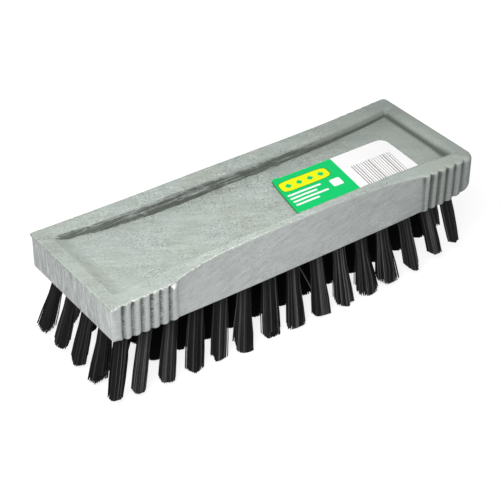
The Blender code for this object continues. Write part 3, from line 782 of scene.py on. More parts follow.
    def drop(self, x, y):
        """Depth of the recess below the rim."""
        left, right, front, back = [np.clip(wall, 0, 1) for wall in self.walls(x, y)]
        ridges = 0.10 * wobble(x * 0.25 + y, *self.WALL_RIDGES) * back * (1 - back) * 4
        soft_back = ramp(0, 60, x)
        back_share = (back + ridges) * (1 - soft_back) + back**1.7 * soft_back
        left_share = 0.7 * (1 - (1 - left) ** 1.5) + 0.3 * smoothstep(0, 1, left)
        down = np.minimum.reduce([left_share, right**2.0, smoothstep(0, 1, front), np.clip(back_share, 0, 1)])
        dents = 0.14 * MM * unevenness(x, y, *self.FLOOR_DENTS)
        ripples = 0.04 * MM * unevenness(x, y, *self.FLOOR_RIPPLES)
        return self.floor_depth(x) * down + (dents + ripples) * smoothstep(0.8, 1, down)

    def height(self, x, y):
        """Height of the top, with a low ridge along the front edge of the recess."""
        sunk = 0.10 * MM * (0.5 + 0.5 * unevenness(x, y, *self.RIM_DENTS))
        outward = np.maximum(np.abs(y) - self.inner_half(x), 0) / (5 * MM)
        ridge = 0.09 * MM * bell(outward, 0.35) * (y < 0)
        return self.top - sunk + ridge - self.drop(x, y)

    def stations(self):
        """X of the columns between the rounded corners: close together over the ribs, wider in the waist."""
        margin = 3 * MM
        left = self.s.left_radius - HALF_LENGTH
        right = HALF_LENGTH - self.s.front_right_radius
        first = self.left_grooves[-1] + margin
        last = self.right_grooves[-1] - margin
        parts = []
        for low, high, step in ((left, first, self.RIB_STEP), (first, last, self.WAIST_STEP),
                                (last, right, self.RIB_STEP)):
            parts.append(np.linspace(low, high, int((high - low) / step), endpoint=False))
        return np.concatenate([*parts, [right]])

    def corner_arc(self, side, end, rise, inset):
        """Points of a rounded corner from its end face to the long side, with the ribs running into it."""
        radius = self.s.left_radius
        if end > 0:
            radius = self.s.front_right_radius if side < 0 else self.s.back_right_radius
        turn = np.linspace(0, math.pi / 2, self.ARC_STEPS + 1)[:-1]
        reach = np.maximum(radius - inset, 0.2 * radius)
        x = end * (HALF_LENGTH - radius + reach * np.cos(turn))
        return np.stack([x, side * (self.side_y(side, x, rise) - radius + reach * np.sin(turn))], axis=1)

    def edge_line(self, side, rise, inset, height=None):
        """The front or back edge from left to right. Each value is one number for each of its points."""
        arc = self.ARC_STEPS
        stations = self.stations()
        middle = slice(arc, arc + len(stations))
        drawn_in = self.side_y(side, stations, rise[middle]) - inset[middle]
        points = np.concatenate([
            self.corner_arc(side, -1, rise[:arc], inset[:arc]),
            np.stack([stations, side * drawn_in], axis=1),
            self.corner_arc(side, 1, rise[-arc:][::-1], inset[-arc:][::-1])[::-1],
        ])
        if height is not None:
            x, y = points.T
            below_side, below_end = self.foot_round(side, x, y)
            plain = rounded_inset(height, self.s.bottom_edge)
            share = np.maximum(np.abs(x) - HALF_LENGTH + self.END_REACH, 0) / self.END_REACH
            points = np.stack([x - np.sign(x) * (rounded_inset(height, below_end) - plain) * share,
                               y - side * (rounded_inset(height, below_side) - plain)], axis=1)
        return self.shaped_corners(points, side, rise)

    def shaped_corners(self, points, side, rise):
        """Rounds off the front left corner's foot, swells out the right-hand end and draws out the horn."""
        s = self.s
        if side < 0:
            radius = s.foot_radius * np.clip(1 - rise, 0, 1) ** 0.7
            centre = np.stack([radius - HALF_LENGTH, radius - HALF_WIDTH], axis=1)
            offset = points - centre
            reach = np.linalg.norm(offset, axis=1)
            outside = (offset[:, 0] < 0) & (offset[:, 1] < 0) & (reach > radius)
            pulled_in = (radius / np.maximum(reach, 1e-9))[:, None]
            points = np.where(outside[:, None], centre + offset * pulled_in, points)
        x, y = points.T
        swell = s.right_swell + s.right_flare * ramp(4, -22, y) + s.right_draft * (1 - rise)
        x = x + swell * smoothstep(70 * MM, HALF_LENGTH, x)
        shrink = s.left_shrink * ramp(-30, -12, y)
        x = x + shrink * smoothstep(7 * MM - HALF_LENGTH, -HALF_LENGTH, x)
        if side > 0:
            near = np.exp(-(((x + HALF_LENGTH) ** 2 + (y - HALF_WIDTH) ** 2) / (2.0 * MM) ** 2))
            x = x - s.horn * near * smoothstep(0.84, 0.97, rise)
        return np.stack([x, y], axis=1)

    def row_shares(self, x, front, back):
        """Where the rows of the top lie across it at x: along its rims, its walls and its floor."""
        inner = self.inner_half(x)
        foot = inner - self.WALL_REACH
        inner_front = max(-inner, front + 0.05 * MM)
        inner_back = min(inner, back - 0.05 * MM)
        rows = np.concatenate([
            np.linspace(front, inner_front, self.RIM_ROWS, endpoint=False),
            np.linspace(inner_front, -foot, self.WALL_ROWS, endpoint=False),
            np.linspace(-foot, foot, self.FLOOR_ROWS, endpoint=False),
            np.linspace(foot, inner_back, self.WALL_ROWS, endpoint=False),
            np.linspace(inner_back, back, self.RIM_ROWS + 1),
        ])
        return (rows - front) / (back - front)


def block_mesh(shape):
    """Vertices and faces of the block: its top as a grid, and its sides as loops below the grid's border."""
    s = shape.s
    arc = shape.ARC_STEPS
    stations = shape.stations()
    left, right = np.full(arc, s.left_edge), np.full(arc, s.right_edge)
    rounds = {side: np.concatenate([left, shape.edge_round(side, stations), right]) for side in (-1, 1)}
    columns = len(rounds[1])
    ones = np.ones(columns)
    front, back = (shape.edge_line(side, ones, rounds[side]) for side in (-1, 1))
    rows = len(shape.row_shares(0.0, -HALF_WIDTH, HALF_WIDTH))
    grid = np.zeros((columns, rows, 3))
    for j in range(columns):
        shares = shape.row_shares((front[j, 0] + back[j, 0]) / 2, front[j, 1], back[j, 1])
        grid[j, :, :2] = front[j] + (back[j] - front[j]) * shares[:, None]
    grid[..., 2] = shape.height(grid[..., 0].ravel(), grid[..., 1].ravel()).reshape(columns, rows)
    index = np.arange(columns * rows).reshape(columns, rows)
    faces = [(index[j, i], index[j + 1, i], index[j + 1, i + 1], index[j, i + 1])
             for j in range(columns - 1) for i in range(rows - 1)]
    border = [(j, 0) for j in range(columns)] + [(columns - 1, i) for i in range(1, rows)]
    border += [(j, rows - 1) for j in range(columns - 2, -1, -1)] + [(0, i) for i in range(rows - 2, 0, -1)]
    vertices = [grid.reshape(-1, 3)]
    above = [index[j, i] for j, i in border]
    count = columns * rows
    for lines in side_loops(shape, grid, rounds):
        vertices.append(joined_loop(lines, border, grid))
        below = list(range(count, count + len(border)))
        count += len(border)
        for k in range(len(border)):
            following = (k + 1) % len(border)
            faces.append((above[following], above[k], below[k], below[following]))
        above = below
    faces.append(tuple(reversed(above)))
    return np.concatenate(vertices), faces


# The loops down the sides: degrees round the top edge, shares of the wall's height, millimetres of the foot
ROUND_LOOPS = (22, 45, 68, 90)
WALL_LOOPS = (0.96, 0.92, 0.87, 0.82, 0.75, 0.66, 0.57, 0.48, 0.38, 0.28, 0.18, 0.09)
FOOT_LOOPS = (5.0, 4.2, 3.4, 2.7, 2.0, 1.4, 0.9, 0.55, 0.3, 0.12, 0.0)


def side_loops(shape, grid, rounds):
    """The front and back lines of each loop down the sides, as arrays of points."""
    edges = {-1: grid[:, 0, 2], 1: grid[:, -1, 2]}
    levels = [("round", math.radians(degrees)) for degrees in ROUND_LOOPS]
    levels += [("wall", share) for share in WALL_LOOPS]
    levels += [("foot", height * MM) for height in FOOT_LOOPS]
    foot = UNDERSIDE_Z + FOOT_LOOPS[0] * MM
    for kind, value in levels:
        lines = []
        for side in (-1, 1):
            radius = rounds[side]
            inset = np.zeros(len(radius))
            height = None
            if kind == "round":
                inset = radius * (1 - math.sin(value))
                z = edges[side] - radius * (1 - math.cos(value))
            elif kind == "wall":
                z = foot + (edges[side] - radius - foot) * value
            else:
                z = np.full(len(radius), UNDERSIDE_Z + value)
                inset = inset + rounded_inset(value, shape.s.bottom_edge)
                height = value
            rise = np.clip((z - UNDERSIDE_Z) / shape.height_range, 0, 1)
            line = shape.edge_line(side, rise, inset, height)
            lines.append(np.concatenate([line, z[:, None]], axis=1))
        yield lines


def joined_loop(lines, border, grid):
    """A loop round the sides from its front and back lines, with its two end faces filled in between them."""
    front, back = lines
    last = grid.shape[1] - 1
    loop = []
    for j, i in border:
        share = (grid[j, i, 1] - grid[j, 0, 1]) / (grid[j, last, 1] - grid[j, 0, 1])
        loop.append(front[j] + (back[j] - front[j]) * share)
    return np.array(loop)


class BlockMasks:
    """Masks at each vertex of the block, from where it lies on it."""

    # Depth that holds the whole recess, and the rim's unevenness and its rounded edge
    TOP_REACH = 8 * MM
    RIM_REACH = 0.6 * MM

    def __init__(self, shape, points):
        self.shape = shape
        self.x, self.y, z = points.T
        self.below = shape.top - z
        at_top = np.ones(len(points))
        half = np.where(self.y < 0, shape.side_y(-1, self.x, at_top), shape.side_y(1, self.x, at_top))
        self.from_side = np.maximum(half - np.abs(self.y), 0)
        self.from_end = np.maximum(HALF_LENGTH - np.abs(self.x), 0)
        self.left, self.right, self.front, self.back = shape.walls(self.x, self.y)
        nearest = np.minimum.reduce([self.left, self.right, self.front, self.back])
        self.inside = (nearest > -0.3) & (self.below < self.TOP_REACH) & (self.below > -1 * MM)
        self.righthand = ramp(0, 10, self.x)

    def edge_wear(self):
        """Pale wear on the top edges, widest over the left-hand ribs, and a faint painted highlight on the
        recess's edges.
        """
        front_edge = (self.y < 0) * (self.from_side < self.from_end)
        left_ribs = ramp(-60, -64, self.x)
        from_edge = np.hypot(np.minimum(self.from_side, self.from_end), self.below)
        strength = 0.16 + 0.22 * front_edge + 0.36 * front_edge * ramp(20, -30, self.x)
        strength = strength - 0.18 * front_edge * left_ribs
        wear = bell(from_edge, 0.75 * MM) * strength
        wear = np.maximum(wear, 0.60 * bell(from_edge, 1.7 * MM) * front_edge * left_ribs)
        # Painted highlight: a faint pale line along the rounded top edges of the recess
        near_recess = bell(np.minimum(self.front, self.back), 0.22) * self.inside
        return np.maximum(wear, near_recess * 0.3 * (self.below < 1.5 * MM))

    def crease(self):
        """Painted shade: the dark band down the back wall of the recess, where the rim shades it, which
        narrows and fades to the right.
        """
        back = self.back
        narrowed = 0.28 * ramp(-25, 5, self.x)
        band = smoothstep(-0.2 + narrowed, 0.25 + narrowed, back) * smoothstep(1.18, 1.05, back)
        band *= 0.80 + 0.24 * smoothstep(0.4, 1.0, back)
        band = np.maximum(band, 0.38 * smoothstep(1.0, 1.15, back) * smoothstep(2.0, 1.2, back))
        band = band * smoothstep(-0.05, 0.45, self.left) * smoothstep(-0.1, 0.7, self.right) * self.inside
        band *= 1 - 0.88 * ramp(24, 60, self.x)
        return np.clip(band, 0, 1)

    def wall_feet(self):
        """Soft shade on the back wall's right half, at the feet of two walls and on the left-hand ramp."""
        back, right = self.back, self.right
        on_back = ramp(16, 46, self.x) * (right > 0.95) * self.inside
        foot_width = 0.26 - 0.09 * ramp(40, 75, self.x)
        back_foot = 1.1 * bell(back - 0.92, foot_width) * on_back
        back_wall = 0.42 * smoothstep(0.0, 0.6, back) * smoothstep(1.3, 1.0, back) * on_back
        foot_width = 0.25 + 0.15 * ramp(-11, -19, self.y)
        right_foot = bell(right - 0.95, foot_width) * (back > 0.85) * (self.front > 0.6) * self.inside
        on_ramp = smoothstep(-0.1, 0.15, self.left) * smoothstep(1.3, 0.2, self.left)
        left_ramp = 0.03 * on_ramp * (self.front > 0.3) * self.inside
        return np.maximum.reduce([back_foot, back_wall, right_foot, left_ramp])

    def groove_hollows(self):
        """Shade in the grooves, towards the flank that faces away from the lamp."""
        phase = self.shape.groove_phase(self.x)
        at_left = smoothstep(-0.22, -0.04, phase) * smoothstep(0.44, 0.0, phase)
        at_right = smoothstep(-0.44, -0.22, phase) * smoothstep(0.42, 0.12, phase)
        hollow = at_left + (at_right - at_left) * self.righthand
        hollow *= 1 - ramp(-62.2, -61.0, self.x) * (self.x < 0)
        shade = hollow * (0.72 + 0.14 * self.righthand) * self.shape.on_ribs(self.x)
        shade *= (self.from_side < 3 * MM) * (self.from_end > 1.2 * MM)
        return shade * ramp(0.3, 1.0, self.below) * (1 + 0.45 * bell(self.below - 2 * MM, 1.6 * MM))

    def turned_side(self):
        """Shade where the front turns away from the lamp, over the right-hand ribs."""
        near_front = (self.y < 0) * (self.from_side < 3 * MM)
        return 0.33 * ramp(52, 82, self.x) * near_front * ramp(0.6, 2.0, self.below)

    def chip(self):
        """Fresh plastic in the torn chip."""
        on_front = self.y < -26 * MM
        return 1.1 * self.shape.chip(self.x, self.below) * on_front * ramp(0.05, 0.45, self.below)

    def soil(self):
        """Painted shade towards the right, the back and the ends; less than 0 is paler, a painted highlight.
        """
        x, y = self.x, self.y
        on_top = 0.07 * ramp(0, 25, y) + 0.10 * ramp(-78, -88, x)
        along_back = smoothstep(0.4, 0.8, self.back) * smoothstep(5.5, 1.2, self.back) * self.inside
        on_top += 0.06 * ramp(72, 80, x) + (0.05 + 0.07 * ramp(-40, -5, x)) * along_back
        # Painted highlights: the front rim, the front at the left and the ends towards the front are made
        # paler
        front_rim = smoothstep(-0.05, -0.3, self.front) * (self.from_side < self.from_end)
        dull_place = bell(x - 46 * MM, 10 * MM)
        on_top -= 0.13 * front_rim * ramp(-60, -30, x) * (1 - 0.7 * dull_place)
        on_front = 0.13 * ramp(-30, -62, x) * (y < -20 * MM)
        on_end = 0.08 * ramp(5, -25, y) * (self.from_end < self.from_side)
        at_top = self.below < self.TOP_REACH * self.inside + self.RIM_REACH
        return 0.14 * ramp(-20, 80, x) + np.where(at_top, on_top, -on_front - on_end)

    def layers(self):
        """The masks that the plastic's material reads, by name."""
        # Painted shade in the grooves, where the front turns away and at the walls' feet
        shade = np.maximum.reduce([self.groove_hollows(), self.turned_side(), self.wall_feet()])
        return {"edge_wear": self.edge_wear(), "crease": self.crease(), "painted_shade": np.clip(shade, 0, 0.95),
                "chip": self.chip(), "soil": self.soil()}


def tuft_places(s):
    """Column, row, mouth and direction of each tuft's hole."""
    columns = len(TUFT_NODES)
    outer_x, outer_y = HALF_LENGTH - s.end_margin, HALF_WIDTH - s.side_margin
    places = []
    for column in range(columns):
        share_x = 2 * column / (columns - 1) - 1
        for row in range(s.rows):
            share_y = 2 * row / (s.rows - 1) - 1
            mouth = Vector((share_x * outer_x, share_y * outer_y, UNDERSIDE_Z))
            lean_y = math.copysign(math.tan(s.row_fan) * abs(share_y) ** s.row_power, share_y)
            fan = s.column_fan + (s.left_lean if column == 0 else 0)
            lean = Vector((share_x * math.tan(fan), lean_y, -1))
            places.append((column, row, mouth, lean.normalized()))
    return places


def drill_holes(block, s):
    """Cuts the tufts' blind holes into the underside of the block."""
    overshoot = 1.0 * MM
    cutters = bmesh.new()
    for _, _, mouth, along in tuft_places(s):
        centre = mouth - along * (s.hole_depth - overshoot) / 2
        turn = Vector((0, 0, 1)).rotation_difference(along).to_matrix().to_4x4()
        bmesh.ops.create_cone(cutters, cap_ends=True, segments=20, radius1=s.hole_diameter / 2,
                              radius2=s.hole_diameter / 2, depth=s.hole_depth + overshoot,
                              matrix=Matrix.Translation(centre) @ turn)
    mesh = bpy.data.meshes.new("hole_cutters")
    cutters.to_mesh(mesh)
    cutters.free()
    drill = new_object("hole_cutters", mesh)
    cut = block.modifiers.new("holes", "BOOLEAN")
    cut.object = drill
    cut.operation = "DIFFERENCE"
    cut.solver = "EXACT"
    drilled = bpy.data.meshes.new_from_object(block.evaluated_get(bpy.context.evaluated_depsgraph_get()))
    block.modifiers.clear()
    old, block.data = block.data, drilled
    bpy.data.meshes.remove(old)
    bpy.data.objects.remove(drill)
    bpy.data.meshes.remove(mesh)


class SHOEBRUSH_OT_block(bpy.types.Operator):
    """Build the moulded block with its ribs, waist, recess and drilled holes"""

    bl_idname = "shoebrush.block"
    bl_label = "Moulded Block"

    def execute(self, context):
        s = settings("block")
        shape = BlockShape(s)
        vertices, faces = block_mesh(shape)
        masks = BlockMasks(shape, vertices).layers()
        block = new_piece("moulded_block", vertices, faces, [plastic_look(s)], masks, 50)
        drill_holes(block, settings("tufts"))
        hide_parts("block")
        return {"FINISHED"}


def trim_z(x, s):
    """Height of the cut ends above the floor for a tuft whose hole is at x."""
    power = 1.25
    share = max(abs(x) - s.level_reach, 0) / (HALF_LENGTH - s.end_margin - s.level_reach)
    return (s.left_trim if x < 0 else s.right_trim) * share**power


def tuft_plan(rng, s):
    """A tuft's cross-section: each filament's place in a unit disc, pressed out towards a polygon."""
    order = np.arange(s.filaments)
    radius = np.sqrt((order + 0.5) / s.filaments)
    angle = order * math.pi * (3 - math.sqrt(5)) + rng.uniform(0, math.tau)
    unit = np.stack([np.cos(angle), np.sin(angle)], axis=1) * radius[:, None]
    sides = rng.integers(4, 6)
    wedge = math.tau / sides
    folded = (angle + rng.uniform(0, wedge)) % wedge - wedge / 2
    flat = math.cos(wedge / 2) / np.cos(folded)
    return unit, unit * (flat / flat.mean())[:, None]


def is_outer(row, column, s):
    """Whether a tuft stands at the edge of the brush, where light reaches it."""
    return row in (0, s.rows - 1) or column in (0, len(TUFT_NODES) - 1)


def tuft_form(rng, row, column, s):
    """Diameter of a tuft's cut end, how far it lies to the right, how much is cut off, and if it is bushy."""
    if row == 0:
        return [*(table[column] * MM for table in (FRONT_TIPS, FRONT_LEANS, FRONT_TRIMS)), False]
    if column == 0:
        return [*(table[row - 1] * MM for table in (LEFT_TIPS, LEFT_LEANS, LEFT_TRIMS)), False]
    tip_diameter = s.tip_diameter * rng.uniform(0.84, 1.2)
    if is_outer(row, column, s):
        return tip_diameter, 0.0, 0.0, False
    if column == 1:
        return 0.8 * tip_diameter, -s.inner_lean, s.inner_trim, False
    return s.inner_diameter, s.inner_drift, 0.0, True


def reach_one_way(rng, plan):
    """How far each filament lies towards a random side of its tuft."""
    facing = rng.uniform(0, math.tau)
    return plan @ (math.cos(facing), math.sin(facing))


def shortfalls(rng, plan, bushy, s):
    """How much shorter each filament is than the longest: chamfers and a notch, or a rounded end if bushy."""
    count = len(plan)
    short = np.abs(rng.normal(0, 0.09 * MM, count))
    if bushy:
        return short + 1.4 * MM * (plan**2).sum(axis=1)
    for _ in range(rng.integers(1, 4)):
        chamfer = (reach_one_way(rng, plan) - rng.uniform(0.2, 0.7)) * rng.uniform(0.8, 4.0) * MM
        short = np.maximum(short, chamfer)
    notch_chance = 0.55
    if rng.random() < notch_chance:
        notched = reach_one_way(rng, plan) > rng.uniform(0.5, 0.8)
        short = short + notched * rng.uniform(0.2, 1.0) * s.notch
    broken_share = 0.02
    return short + (rng.random(count) < broken_share) * rng.uniform(0, 1.0 * MM, count)


def paleness(rng, plan, mouth):
    """How pale each filament is, its painted highlight: half by itself and half with the others of its clump.
    """
    clumps_to_radius = 5.0
    clump = np.floor(plan * clumps_to_radius + 0.5) @ (12.9898, 78.233) + (mouth.x + 3 * mouth.y) / MM
    scattered = (np.sin(clump) * 43758.5453) % 1
    return (rng.random(len(plan)) + scattered) / 2


def tuft_lines(rng, mouth, along, s, tip_diameter, aside, trim, bushy):
    """Centre lines of a tuft's filaments as an array of filament, ring and place, and how pale each is."""
    round_plan, flat_plan = tuft_plan(rng, s)
    across = along.orthogonal().normalized()
    axes = np.array([across, along.cross(across)])
    squash = np.array([1 + rng.uniform(-0.08, 0.08), 1 + rng.uniform(-0.08, 0.08)])
    drift = rng.normal(0, 0.3 * MM, 2)
    if bushy:
        flat_plan = round_plan
    shortfall = shortfalls(rng, flat_plan, bushy, s)
    bow = rng.normal(0, 0.06 * MM, (s.filaments, 2))

    # Radii of the tuft at each ring: in its hole, at its mouth, in its belly and at its cut end
    belly = s.belly_diameter * (1.22 if bushy else 1.0)
    tip_radius = tip_diameter / 2
    shares = np.array([0.0, 0.125, 0.25, 0.5, 0.78, 1.0])
    widths = np.array([0.95 * s.root_diameter, s.root_diameter, 0.97 * belly, belly]) / 2
    widths = np.concatenate([widths - s.filament_diameter / 2, [belly * 0.2 + tip_radius * 0.6, tip_radius]])

    fold_gap, floor_gap = 0.4 * MM, 0.05 * MM
    start = np.array(mouth) - np.array(along) * (s.hole_depth - fold_gap)
    tip_z = trim_z(mouth.x, s) + trim + floor_gap + shortfall
    run = (start[2] - tip_z) / -along.z
    sideways = np.array((aside, 0.0, 0.0))
    lines = np.zeros((s.filaments, len(shares), 3))
    for k, (share, width) in enumerate(zip(shares, widths)):
        squared = float(smoothstep(0.1, 0.6, share))
        plan = round_plan + (flat_plan * squash - round_plan) * squared
        offset = plan * width + bow * math.sin(math.pi * share) + drift * share
        lines[:, k] = start + np.outer(run * share, np.array(along)) + offset @ axes + sideways * share**0.7
    slope = (lines[:, -1, 2] - tip_z) / (run * -along.z)
    lines[..., 2] -= slope[:, None] * (start[2] - lines[..., 2]).clip(0)
    return lines, paleness(rng, flat_plan, mouth)


def stray_line():
    """One loose filament that stands out between two tufts of the front row, laid out in millimetres."""
    shares = np.linspace(0, 1, 6)[:, None]
    start, end = np.array((-0.8, -23.2, 33.0)), np.array((7.6, -26.2, 14.5))
    bow = np.array((1.0, 0.0, 0.0))
    return (start + (end - start) * shares + bow * shares * (1 - shares))[None] * MM


def column_strands(column, s):
    """Centre lines of a column's filaments, how pale each is, and which take the inner rows' painted shade.
    """
    rng = np.random.default_rng(100 + column)
    # Painted shade: the left-hand end's tufts behind the front row are made less pale
    left_end_shade = 0.76
    lines, pale, shaded = [], [], []
    for _, row, mouth, along in [place for place in tuft_places(s) if place[0] == column]:
        made, shade = tuft_lines(rng, mouth, along, s, *tuft_form(rng, row, column, s))
        lines.append(made)
        pale.append(shade * (left_end_shade if column == 0 and row > 0 else 1.0))
        shaded.append(np.full(len(made), not is_outer(row, column, s)))
    if column == len(TUFT_NODES) // 2:
        lines.append(stray_line())
        pale.append(np.array([1.0]))
        shaded.append(np.array([False]))
    proud = np.array((2.0, 1.0, 0.0)) * MM
    lines = np.clip(np.concatenate(lines), np.array(CAD_LOW) - proud, np.array(CAD_HIGH) + proud)
    return lines, np.concatenate(pale), np.concatenate(shaded).astype(int)


def tube_mesh(lines, pale, diameter):
    """Four-sided tubes along the lines, closed by flat ends."""
    count, rings, _ = lines.shape
    corners = np.array([(1, 0), (0, 1), (-1, 0), (0, -1)]) * diameter / 2
    points = np.repeat(lines[:, :, None, :], 4, axis=2)
    points[..., :2] += corners
    vertices = points.reshape(-1, 3)
    index = np.arange(len(vertices)).reshape(count, rings, 4)
    quads = []
    for k in range(4):
        n = (k + 1) % 4
        wall = np.stack([index[:, :-1, k], index[:, 1:, k], index[:, 1:, n], index[:, :-1, n]], axis=-1)
        quads.append(wall.reshape(-1, 4))
    quads.append(index[:, -1, ::-1])
    quads.append(index[:, 0, :])
    return vertices, np.concatenate(quads), np.repeat(pale, rings * 4)


class SHOEBRUSH_OT_tufts(bpy.types.Operator):
    """Fill the holes with tufts of fine filaments, one piece for each column of five"""

    bl_idname = "shoebrush.tufts"
    bl_label = "Bristle Tufts"

    def execute(self, context):
        s = settings("tufts")
        looks = [bristle_look(s), shaded_bristle_look(s)]
        for column, node in enumerate(TUFT_NODES):
            lines, pale, shaded = column_strands(column, s)
            vertices, faces, shades = tube_mesh(lines, pale, s.filament_diameter)
            face_looks = np.concatenate([np.repeat(shaded, lines.shape[1] - 1)] * 4 + [shaded] * 2)
            tufts = new_piece(f"tufts_{column + 1:02d}", vertices, faces, looks,
                              {"paleness": shades}, 60, face_looks)
            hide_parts(node)
        return {"FINISHED"}


def anchor_mesh(s):
    """One mesh of all the anchors: a short flat wire across each hole, turned at random about it."""
    rng = np.random.default_rng(7)
    edge_round = 0.07 * MM
    sizes = (s.hole_diameter + 2 * s.anchor_bite, s.anchor_thickness, s.anchor_width)
    wires = bmesh.new()
    for _, _, mouth, along in tuft_places(s):
        centre = mouth - along * (s.hole_depth - s.anchor_lift - s.anchor_width / 2)
        across = along.orthogonal().normalized()
        across.rotate(Matrix.Rotation(rng.uniform(0, math.pi), 3, along))
        axes = Matrix((across, along.cross(across), along)).transposed().to_4x4()
        stance = Matrix.Translation(centre) @ axes @ Matrix.Diagonal((*sizes, 1))
        made = bmesh.ops.create_cube(wires, size=1, matrix=stance)
        edges = {edge for vertex in made["verts"] for edge in vertex.link_edges}
        bmesh.ops.bevel(wires, geom=list(edges), offset=edge_round, segments=2, affect="EDGES")
    mesh = bpy.data.meshes.new("anchor_wires")
    wires.to_mesh(mesh)
    wires.free()
    mesh.materials.append(anchor_look(s))
    mesh.shade_smooth()
    mesh.set_sharp_from_angle(angle=math.radians(50))
    return mesh


class SHOEBRUSH_OT_anchors(bpy.types.Operator):
    """Drive a short flat wire across the bottom of each hole"""

    bl_idname = "shoebrush.anchors"
    bl_label = "Anchor Wires"

    def execute(self, context):
        wires = new_object("anchor_wires", anchor_mesh(settings("tufts")))
        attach(wires, BODY)
        return {"FINISHED"}


def build_printed_shape(name):
    """A mask of one printed shape: 2 gives an ellipse as its Squareness, and more squares it off."""
    sheet, given, wanted = new_effect(
        name, {"Along": ("Float", 0.0), "Down": ("Float", 0.0), "Middle Along": ("Float", 0.0),
               "Middle Down": ("Float", 0.0), "Half Length": ("Float", 1.0), "Half Width": ("Float", 1.0),
               "Squareness": ("Float", 2.0)}, {"Mask": "Float"})
    shares = []
    for place, half in (("Along", "Half Length"), ("Down", "Half Width")):
        away = sheet.maths("ABSOLUTE", sheet.maths("SUBTRACT", given[place], given["Middle " + place]))
        shares.append(sheet.maths("POWER", sheet.maths("DIVIDE", away, given[half]), given["Squareness"]))
    sheet.feed(wanted["Mask"], sheet.spread(sheet.plus(*shares), 0.97, 1.03, 1.0, 0.0))
    return sheet.tree


def label_look(s):
    """Printed paper: green field, yellow band, white rules, a bare half with grey bars and a painted shadow
    on its left edge.
    """
    look, sheet, surface = new_look("label_paper")
    place = sheet.coordinates()
    shifted = sheet.vector("SUBTRACT", place, (s.corner_x, s.corner_y, 0.0))
    parts = sheet.add("SeparateXYZ", Vector=sheet.turned(shifted, "Z", -s.turn)).outputs
    down = sheet.times(parts["Y"], -1 / MM)
    slanted = sheet.scaled(down, 0.085, -0.5)
    along = sheet.scaled(parts["X"], 1 / MM, slanted)

    # The print is laid out in millimetres along and down the label from its back left corner
    def shape(middle_along, middle_down, half_length, half_width, squareness):
        return sheet.place(effect("Printed Shape", build_printed_shape), Along=along, Down=down,
                           Middle_Along=middle_along, Middle_Down=middle_down, Half_Length=half_length,
                           Half_Width=half_width, Squareness=squareness)["Mask"]

    fibre = cast_grain(sheet, place, 3000.0, 0.05)
    field_end = 32.0
    field = sheet.spread(along, field_end - 0.1, field_end + 0.1, 1.0, 0.0)
    colour = sheet.mix(field, s.paper_colour, s.field_colour)
    band_down, band_line = 7.0, 0.3
    band_edge = shape(14.6, band_down, 11.9 + band_line, 3.6 + band_line, 5.0)
    colour = sheet.mix(band_edge, colour, s.line_and_shadow_colour)
    colour = sheet.mix(shape(14.6, band_down, 11.9, 3.6, 5.0), colour, s.band_colour)
    for diamond_along in (6.6, 12.0, 17.4, 22.8):
        colour = sheet.mix(shape(diamond_along, band_down, 1.5, 1.5, 1.2), colour, s.field_colour)
    # Middle along, middle down and half length of each white rule
    rules = [(10.8, 13.2, 8.2), (9.2, 15.6, 6.6), (11.4, 18.0, 8.8), (8.4, 20.4, 5.8)]
    for middle_along, middle_down, half_length in rules:
        colour = sheet.mix(shape(middle_along, middle_down, half_length, 0.55, 12.0), colour, s.paper_colour)
    colour = sheet.mix(shape(25.6, 15.6, 2.5, 2.5, 8.0), colour, s.paper_colour)
    # One bar to a pitch, each with a width of its own
    pitches = sheet.times(along, 0.82)
    chance = sheet.add("TexWhiteNoise", {"noise_dimensions": "1D"}, W=sheet.maths("FLOOR", pitches))
    inked = sheet.scaled(chance.outputs["Value"], 0.42, 0.16)
    bars = sheet.maths("LESS_THAN", sheet.maths("FRACT", pitches), inked)
    inside = shape(46.6, 20.0, 10.6, 10.2, 40.0)
    colour = sheet.mix(sheet.times(bars, inside), colour, s.ink_colour)
    # Painted shadow: a thin dark line along the label's left edge
    inward = sheet.scaled(down, 0.06, along)
    colour = sheet.mix(sheet.spread(inward, 1.7, 2.0, 0.85, 0.0), colour, s.line_and_shadow_colour)
    colour = sheet.mix(ragged(sheet, "edge_wear", place, 1500.0, 0.5), colour, s.paper_colour)
    sheet.feed(surface["Base Color"], sheet.toned(colour, sheet.scaled(fibre["Tone"], 0.05, 1.0)))
    sheet.feed(surface["Roughness"], sheet.scaled(fibre["Tone"], 0.08, 0.36))
    surface["Specular IOR Level"].default_value = 0.2
    sheet.feed(surface["Normal"], sheet.bump(fibre["Height"], 0.03 * MM, 0.5))
    return look


